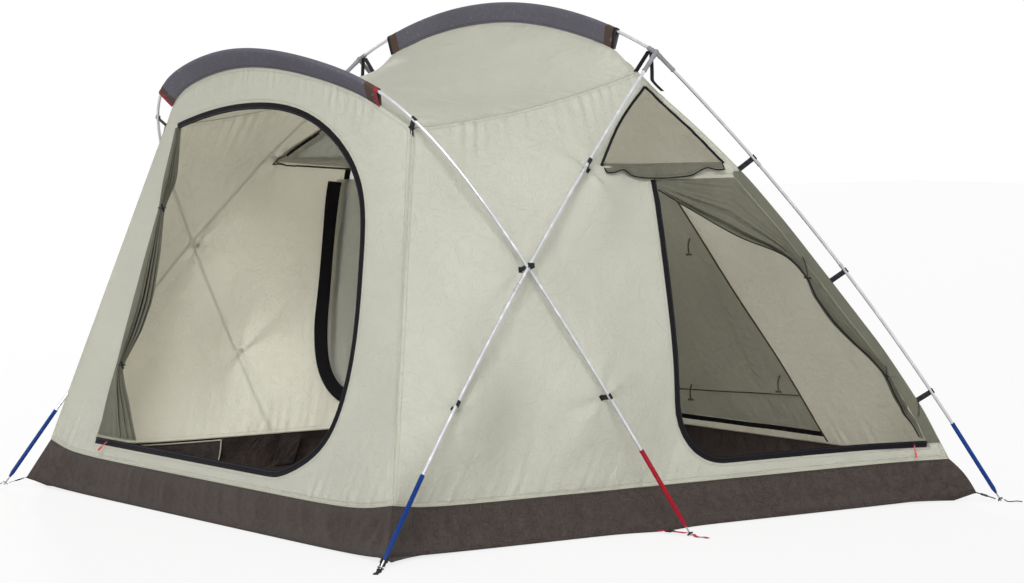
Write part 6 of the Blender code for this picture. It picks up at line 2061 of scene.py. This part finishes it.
print("stage: flaps")
flapSet = {
    "thickness": 0.0008,
    "sideGrid": (220, 84),          # points along the hem and from it to the sewn edge
    "sideFold": (3.4, 0.010),       # number of folds and their height
    "fineFold": (9.0, 0.0030),
    "tieDrag": 0.012,               # a tie draws the hem out this far
    "hemRoll": (0.006, 0.05),       # the hem rolls out this far, over this share of the flap
    "root": (0.004, 0.018, 0.006, 0.003, 0.0050),   # cloth at its root: foot, top, front and rear ends, off the wall
    "rootGrid": (150, 9),
    "frontGrid": (190, 230),        # points down the flap and round its folds
    "frontFolds": (14, 0.66),
    "frontOpen": 168,               # its two edges meet this many degrees from its free side
    "frontTwist": 0.9,
    "frontKnots": (0.17, 0.26, 0.40),   # where the first folds are widest and tied, down the flap
    "frontTies": (0.26, 0.775),
    "frontBelly": (0.35, 0.56, 0.16),   # extra width between the ties: share, place and reach
    "fanStart": 0.79,               # below the second tie the flap spreads out
    "fanWide": 1.85,
    "fanFlat": 0.62,
    "ventGrid": (120, 34),
    "ventRipple": (0.0035, 19, 0.0020, 47),
    "ventCurl": 0.012,
    "hem": (0.0022, 0.0024),        # radius of the door flap's and the vent flap's hem
    "tie": (0.0018, 0.014, 0.004),  # a tie's cord radius, its loop's depth, and how far past the folds it goes
    # Toggle of a tie: radius and place along it
    "toggle": ((0, -0.015), (0.0030, -0.0145), (0.0042, -0.012), (0.0034, -0.003), (0.0034, 0.003), (0.0042, 0.012),
               (0.0030, 0.0145), (0, 0.015)),
}


def makeTie(name, start, end, out):
    # A cord loop round a tied flap, with its toggle.
    radius, depth, past = flapSet["tie"]
    way = unit(end - start)
    half = np.linalg.norm(end - start) / 2 + past
    turn = np.linspace(0, 2 * math.pi, 41)[:-1]
    ring = np.array([(start + end) / 2 + way * half * math.cos(a) + out * depth * math.sin(a) for a in turn])
    loop = tubePiece(name + "_loop", ring, radius, 8, closed=True)
    toggle = spinPiece(name + "_toggle", flapSet["toggle"], 16)
    moveMesh(toggle, placed(way, np.cross(out, way), out, start + out * 0.006 - way * 0.004)
             @ Matrix.Rotation(math.radians(70), 4, "X"))
    install(joined(name + "_cord", [loop, toggle]), "blackCord")


def finishFlap(name, grid, hems, stands=(), angle=70.0):
    item = gridPiece(grid, name, flapSet["thickness"])
    finishCloth(item, "flapCloth", (), hems, stands, angle)


def makeSideFlap():
    # The right door, unzipped and tied back in two places along its sewn rear edge.
    columns, rows = flapSet["sideGrid"]
    hem = []
    for back, up in zip(flaps["sideHemBack"], flaps["sideHemUp"]):
        z = doors["sideDoorSill"] + (doorTop - doors["sideDoorSill"]) * up
        hem.append((doorFront + (rearEdgeY(z) - doorFront) * back, z, 0))
    hem = even(smoothLine(hem, 300)[:, :2], columns)
    top = doorTop - doors["cutGap"]
    rear = [(rearEdgeY(z) - 2 * doors["cutGap"], z) for z in np.linspace(top, hem[-1][1], 60)]
    sewn = even([(doorFront + doors["zipWidth"] / 2 + 2 * doors["cutGap"], top)] + rear, columns)
    grid = np.zeros((rows, columns, 3))
    phases = rng.uniform(0, 2 * np.pi, 3)
    (folds, foldHeight), (fineFolds, fineHeight) = flapSet["sideFold"], flapSet["fineFold"]
    for i, u in enumerate(np.linspace(0, 1, columns)):
        free = min(1.0, min(abs(tie - u) for tie in flaps["sideTies"]) / flaps["tieReach"])
        ends = min(1.0, u / flaps["sideFlapEase"], (1 - u) / flaps["sideFlapEase"])
        deep = foldHeight * (flaps["tiedFold"] + (1 - flaps["tiedFold"]) * free) * ends
        fine = fineHeight * ends * (0.5 + 0.5 * (1 - free))
        drag = flapSet["tieDrag"] * (1 - free)
        for j, v in enumerate(np.linspace(0, 1, rows)):
            a, b = hem[i] * (1 - v) + sewn[i] * v
            turn = 2 * math.pi * (folds * v ** 0.8 + (1 + 2 * u) / 6)
            fold = deep * (1 - v) ** 0.7 * (math.sin(turn) + 0.4 * math.sin(2.3 * turn + phases[0]))
            crisp = fine * math.sin(2 * math.pi * fineFolds * v + 5 * u + phases[1]) * (1 - v) ** 0.4
            roll = flapSet["hemRoll"][0] * math.exp(-(v / flapSet["hemRoll"][1]) ** 2) * ends
            grid[j, i] = sideWall.point(a, b) + vec(fold + crisp + roll + drag * (1 - v), 0, 0)
    finishFlap("right_door_flap_cloth", grid, [grid[0], grid[:, 0]],
               ["right_door_flap"])
    foot, head, front, back, off = flapSet["root"]
    tall, wide = flapSet["rootGrid"]
    strip = []
    for z in np.linspace(doors["sideDoorSill"] + foot, doorTop + head, tall):
        seam = float(np.interp(z, fineSide[:, -1, 2], fineSide[:, -1, 1]))
        strip.append([np.maximum(smoothSide.point(y, z), sideWall.point(y, z)) + vec(off, 0, 0)
                      for y in np.linspace(rearEdgeY(min(z, doorTop)) - front, seam - back, wide)])
    finishFlap("right_door_flap_root", np.array(strip), ())
    edge = tubePiece("right_door_flap_hem", grid[0][::2], flapSet["hem"][0], 8)
    install(edge, "blackBinding")
    for number, tie in enumerate(flaps["sideTies"], 1):
        across = grid[:, int(tie * (columns - 1))]
        makeTie(f"right_door_tie_{number}", across[0], across[-1], vec(1, 0, 0))


def makeFrontFlap():
    # The front door, gathered in folds along its left edge and tied in two places.
    stations, around = flapSet["frontGrid"]
    heights = np.linspace(frontLine[-1][1] - 0.2 * doors["zipWidth"], frontLine[0][1] + doors["zipWidth"], stations)
    shares = np.linspace(0, 1, stations)
    knots = np.linspace(0, 1, len(flaps["bundleRadii"]))
    knots[2:5] = flapSet["frontKnots"]
    radii = np.interp(shares, knots, flaps["bundleRadii"])
    radii = np.convolve(np.pad(radii, 4, mode="edge"), np.ones(9) / 9, mode="valid")
    angles = np.linspace(math.radians(-flapSet["frontOpen"]), math.radians(flapSet["frontOpen"]), around)
    folds, depth = flapSet["frontFolds"]
    more, at, over = flapSet["frontBelly"]
    phase = rng.uniform(0, 2 * np.pi, 4)
    grid = np.zeros((around, stations, 3))
    for k, (height, radius, share) in enumerate(zip(heights, radii, shares)):
        fan = min(1.0, max(0.0, (share - flapSet["fanStart"]) / (1 - flapSet["fanStart"]))) ** 0.8
        wide = 1.15 + more * math.exp(-((share - at) / over) ** 2) + flapSet["fanWide"] * fan
        center = smoothFront.point(frontEdgeX(height) + radius * wide + flaps["bundleGap"], height)
        swing = flapSet["frontTwist"] * math.sin(2.4 * share + phase[0])
        wobble = 1 + 0.28 * np.sin(3 * angles + phase[1] + 2 * share)
        wave = 1 - np.cos(folds * angles + swing * 3 + 1.2 * np.sin(2 * angles + phase[2]))
        reach = radius * (1 - np.clip(depth * (1 - 0.45 * fan) * wobble * wave / 2, 0, 0.86))
        grid[:, k, 0] = center[0] + reach * wide * np.cos(angles)
        grid[:, k, 1] = center[1] + reach * np.sin(angles) * flaps["bundleFlat"] * (1 - flapSet["fanFlat"] * fan)
        grid[:, k, 2] = center[2]
    finishFlap("front_door_flap_cloth", grid, [grid[0], grid[-1], grid[:, -1]],
               ["front_door_flap"], 75.0)
    for number, share in enumerate(flapSet["frontTies"], 1):
        ring = grid[:, int(share * (stations - 1))]
        makeTie(f"front_door_tie_{number}", ring[int(np.argmax(ring[:, 0]))], ring[int(np.argmin(ring[:, 0]))],
                vec(0, -1, 0))


def makeVentFlap():
    # The right vent's cover, let down over its sill, curling up at both ends.
    columns, rows = flapSet["ventGrid"]
    rolls = list(zip(flaps["ventRollOut"], flaps["ventRollUp"]))
    falls = list(zip(flaps["ventFallOut"], flaps["ventFallDown"]))
    grid = np.zeros((len(rolls) + len(falls), columns, 3))
    backs = np.linspace(hub[1] - doors["ventFront"] + flaps["ventFlapIn"], ventRear - flaps["ventFlapIn"], columns)
    first, firstWave, second, secondWave = flapSet["ventRipple"]
    for i, (back, u) in enumerate(zip(backs, np.linspace(0, 1, columns))):
        curl = sum(math.exp(-((u - at) / flaps["ventCurlReach"]) ** 2)
                   for at in (flaps["ventCurlAt"], 1 - flaps["ventCurlAt"]))
        hang = flaps["ventHang"] * (flaps["ventSideHang"] + (1 - flaps["ventSideHang"]) * math.sin(math.pi * u))
        hang *= 1 - flaps["ventCurlLift"] * curl
        ripple = first * math.sin(firstWave * u + 1.0) + second * math.sin(secondWave * u)
        for j, (out, up) in enumerate(rolls):
            lifted = flaps["ventCurlOut"] * curl * j / len(rolls)
            grid[j, i] = smoothSide.point(back, sill) + vec(out + lifted, 0, up)
        for j, (out, down) in enumerate(falls, len(rolls)):
            grid[j, i] = (smoothSide.point(back, sill - down * hang)
                          + vec(out + flapSet["ventCurl"] * curl + ripple * down, 0, 0))
    fine = refined(grid, rows, columns)
    finishFlap("right_vent_flap_cloth", fine, [fine[-1]],
               ["right_vent_flap"])
    hem = np.vstack([fine[10:, 0], fine[-1], fine[10:, -1][::-1]])
    install(tubePiece("right_vent_flap_hem", hem, flapSet["hem"][1], 8), "blackBinding")


makeSideFlap()
makeFrontFlap()
makeVentFlap()


# Foot straps with their rings, buckles and tails

print("stage: straps")
strapSet = {
    "thickness": 0.0016,
    "ringWire": (0.0026, 0.0026 * 0.62),  # the wire's line lies this far inside the ring's edge, and its radius
    "seat": (0.0004, 0.0017),            # disc in a ring: clearance round the pin, and half its height
    "buckle": (0.026, 0.022, 0.005),
    "railHalf": 0.002,
    "barHalf": 0.0018,
    "tailShare": 0.9,
    "hubTail": (0.155, 0.0015, 0.8),     # length, thickness, and width as a share of the strap's
    "hubBend": (0.62, 0.052, 0.006),     # the tail bends from this share of it, this far back, and sways
}


def footStrapPath(tubPoint, route):
    # The strap from the tub through its ring to the ground, in its own upright plane.
    way = endWay(route)
    bottom = route.at(0) - way * tipStart(way)
    lean = math.acos(way[2])
    up = (footStraps["ringDiameter"] / 2 * math.sin(lean) + footStraps["ringThickness"] / 2 * math.cos(lean)
          + footStraps["groundGap"])
    ring = bottom + way * (up - bottom[2]) / way[2]
    outward = unit((ring - tubPoint) * vec(1, 1, 0))
    span = float((ring - tubPoint) @ outward)
    ground = strapSet["thickness"] / 2 + footStraps["groundGap"]
    near, far = span - footStraps["tailStep"], span + 0.014
    tail = footStraps["tailStep"] + footStraps["tailLength"]
    inner = [(0.0005, tubPoint[2]), (near * 0.5, tubPoint[2] * 0.5 + ring[2] * 0.5 + 0.001),
             (near, ring[2] + 0.001)]
    outer = [(far, max(ground, ring[2])), (far + 0.012, ground + 0.001), (span + 0.010 + tail * 0.7, ground + 0.002),
             (span + 0.0104 + tail, ground)]
    return ring, way, outward, inner, outer


def bucklePiece(name, place, ahead, across):
    length, width, depth = strapSet["buckle"]
    parts = []
    for i, y in enumerate((-width / 2, width / 2)):
        half = strapSet["railHalf"]
        parts.append(boxPiece(f"{name}_rail_{i}", (-length / 2, length / 2), (y - half, y + half), depth))
    for i, share in enumerate((-1 / 2, -1 / 6, 1 / 6, 1 / 2)):
        x, half = share * length, strapSet["barHalf"]
        parts.append(boxPiece(f"{name}_bar_{i}", (x - half, x + half), (-width / 2, width / 2), depth * 0.7))
    for part in parts:
        soften(part, 0.0006)
    piece = joined(name + "_buckle", parts)
    moveMesh(piece, placed(ahead, across, np.cross(ahead, across), place))
    install(piece, "clipPlastic")


def makeFootStrap(name, tubPoint, route, side, look):
    flip = vec(side, 1, 1)
    ring, way, outward, inner, outer = footStrapPath(tubPoint, route)
    across = unit(np.cross(outward, vec(0, 0, 1))) * flip

    def bent(line):
        fine = smoothLine([(s, z, 0) for s, z in line], 16)
        return [(tubPoint * vec(1, 1, 0) + outward * s + vec(0, 0, z)) * flip for s, z, _ in fine]

    web = bent(inner)
    width, thickness = footStraps["strapWidth"], strapSet["thickness"]
    install(ribbonPiece(name + "_web", web, across, width, thickness), look, stands=[name])
    install(ribbonPiece(name + "_tail", bent(outer), across, width * strapSet["tailShare"], thickness), look)
    one = unit(np.cross(way, outward))
    two = np.cross(one, way)
    radius = footStraps["ringDiameter"] / 2 - strapSet["ringWire"][0]
    circle = np.array([(ring + one * radius * math.cos(a) + two * radius * math.sin(a)) * flip
                       for a in np.linspace(0, 2 * math.pi, 33)[:-1]])
    eye = tubePiece(name + "_ring", circle, strapSet["ringWire"][1], 10, closed=True)
    install(eye, "ringMetal")
    inside, half = poleEnds["pinDiameter"] / 2 + strapSet["seat"][0], strapSet["seat"][1]
    seat = spinPiece(name + "_seat", [(inside, -half), (radius, -half), (radius, half), (inside, half)], 24)
    moveMesh(seat, standing(ring * flip, way * flip))
    install(seat, "clipPlastic")
    ahead = unit(web[8] - web[6])
    bucklePiece(name, web[6], ahead, unit(np.cross(np.cross(ahead, across), ahead)))


def makeHubStrap(name, side):
    way = hubWay(ridge, poleEnds["ridgeSocketLength"])
    under = np.cross(way, vec(0, 1, 0))
    if under[2] > 0:
        under = -under
    lift = poleEnds["socketDiameter"] / 2 + poleEnds["runClearance"] + footStraps["strapThickness"] / 2
    high = hub + way * hubStraps["hubStrapReach"] + under * lift
    near = hub + way * hubStraps["hubTailIn"] + under * lift
    start = roofRear + vec(hubStraps["hubStrapOut"], 0, hubStraps["hubStrapLow"])
    flip = vec(side, 1, 1)
    upLine = np.array([start * (1 - s) + high * s for s in np.linspace(0, 1, 12)] + [near]) * flip
    length, thickness, share = strapSet["hubTail"]
    bendAt, back, sway = strapSet["hubBend"]
    t = np.linspace(0, 1, 18)
    bend = np.maximum(0, (t - bendAt) / (1 - bendAt))
    tail = np.array([near + vec(sway * math.sin(3.1 * s), back * b ** 1.2, -length * (s - 0.12 * b))
                     for s, b in zip(t, bend)]) * flip
    width = footStraps["strapWidth"]
    parts = [ribbonPiece(name + "_up", upLine, vec(0, 1, 0), width, strapSet["thickness"]),
             ribbonPiece(name + "_down", tail, vec(0, 1, 0), width * share, thickness)]
    install(joined(name + "_web", parts), "blackWebbing", stands=[name])


lowerSide = lowerEdge["right"]
middleFoot = lowerSide[int(np.argmin(np.abs(lowerSide[:, 1] - archTip[1])))] + vec(0, 0, footStraps["middleStrapLift"])
for place, tubPoint, route, look in (
        ("front", tubCorner(True, cloth["cornerIn"], cloth["cornerLift"]), frontLeg, "blackWebbing"),
        ("rear", tubCorner(False, cloth["cornerIn"], cloth["cornerLift"]), rearLeg, "blackWebbing"),
        ("middle", middleFoot, rightArch, "redWebbing")):
    for label, side in (("left", -1), ("right", 1)):
        makeFootStrap(f"{place}_{label}_strap", tubPoint, route, side, look)
for label, side in (("left", -1), ("right", 1)):
    makeHubStrap(label + "_hub_strap", side)

print("stage: done")
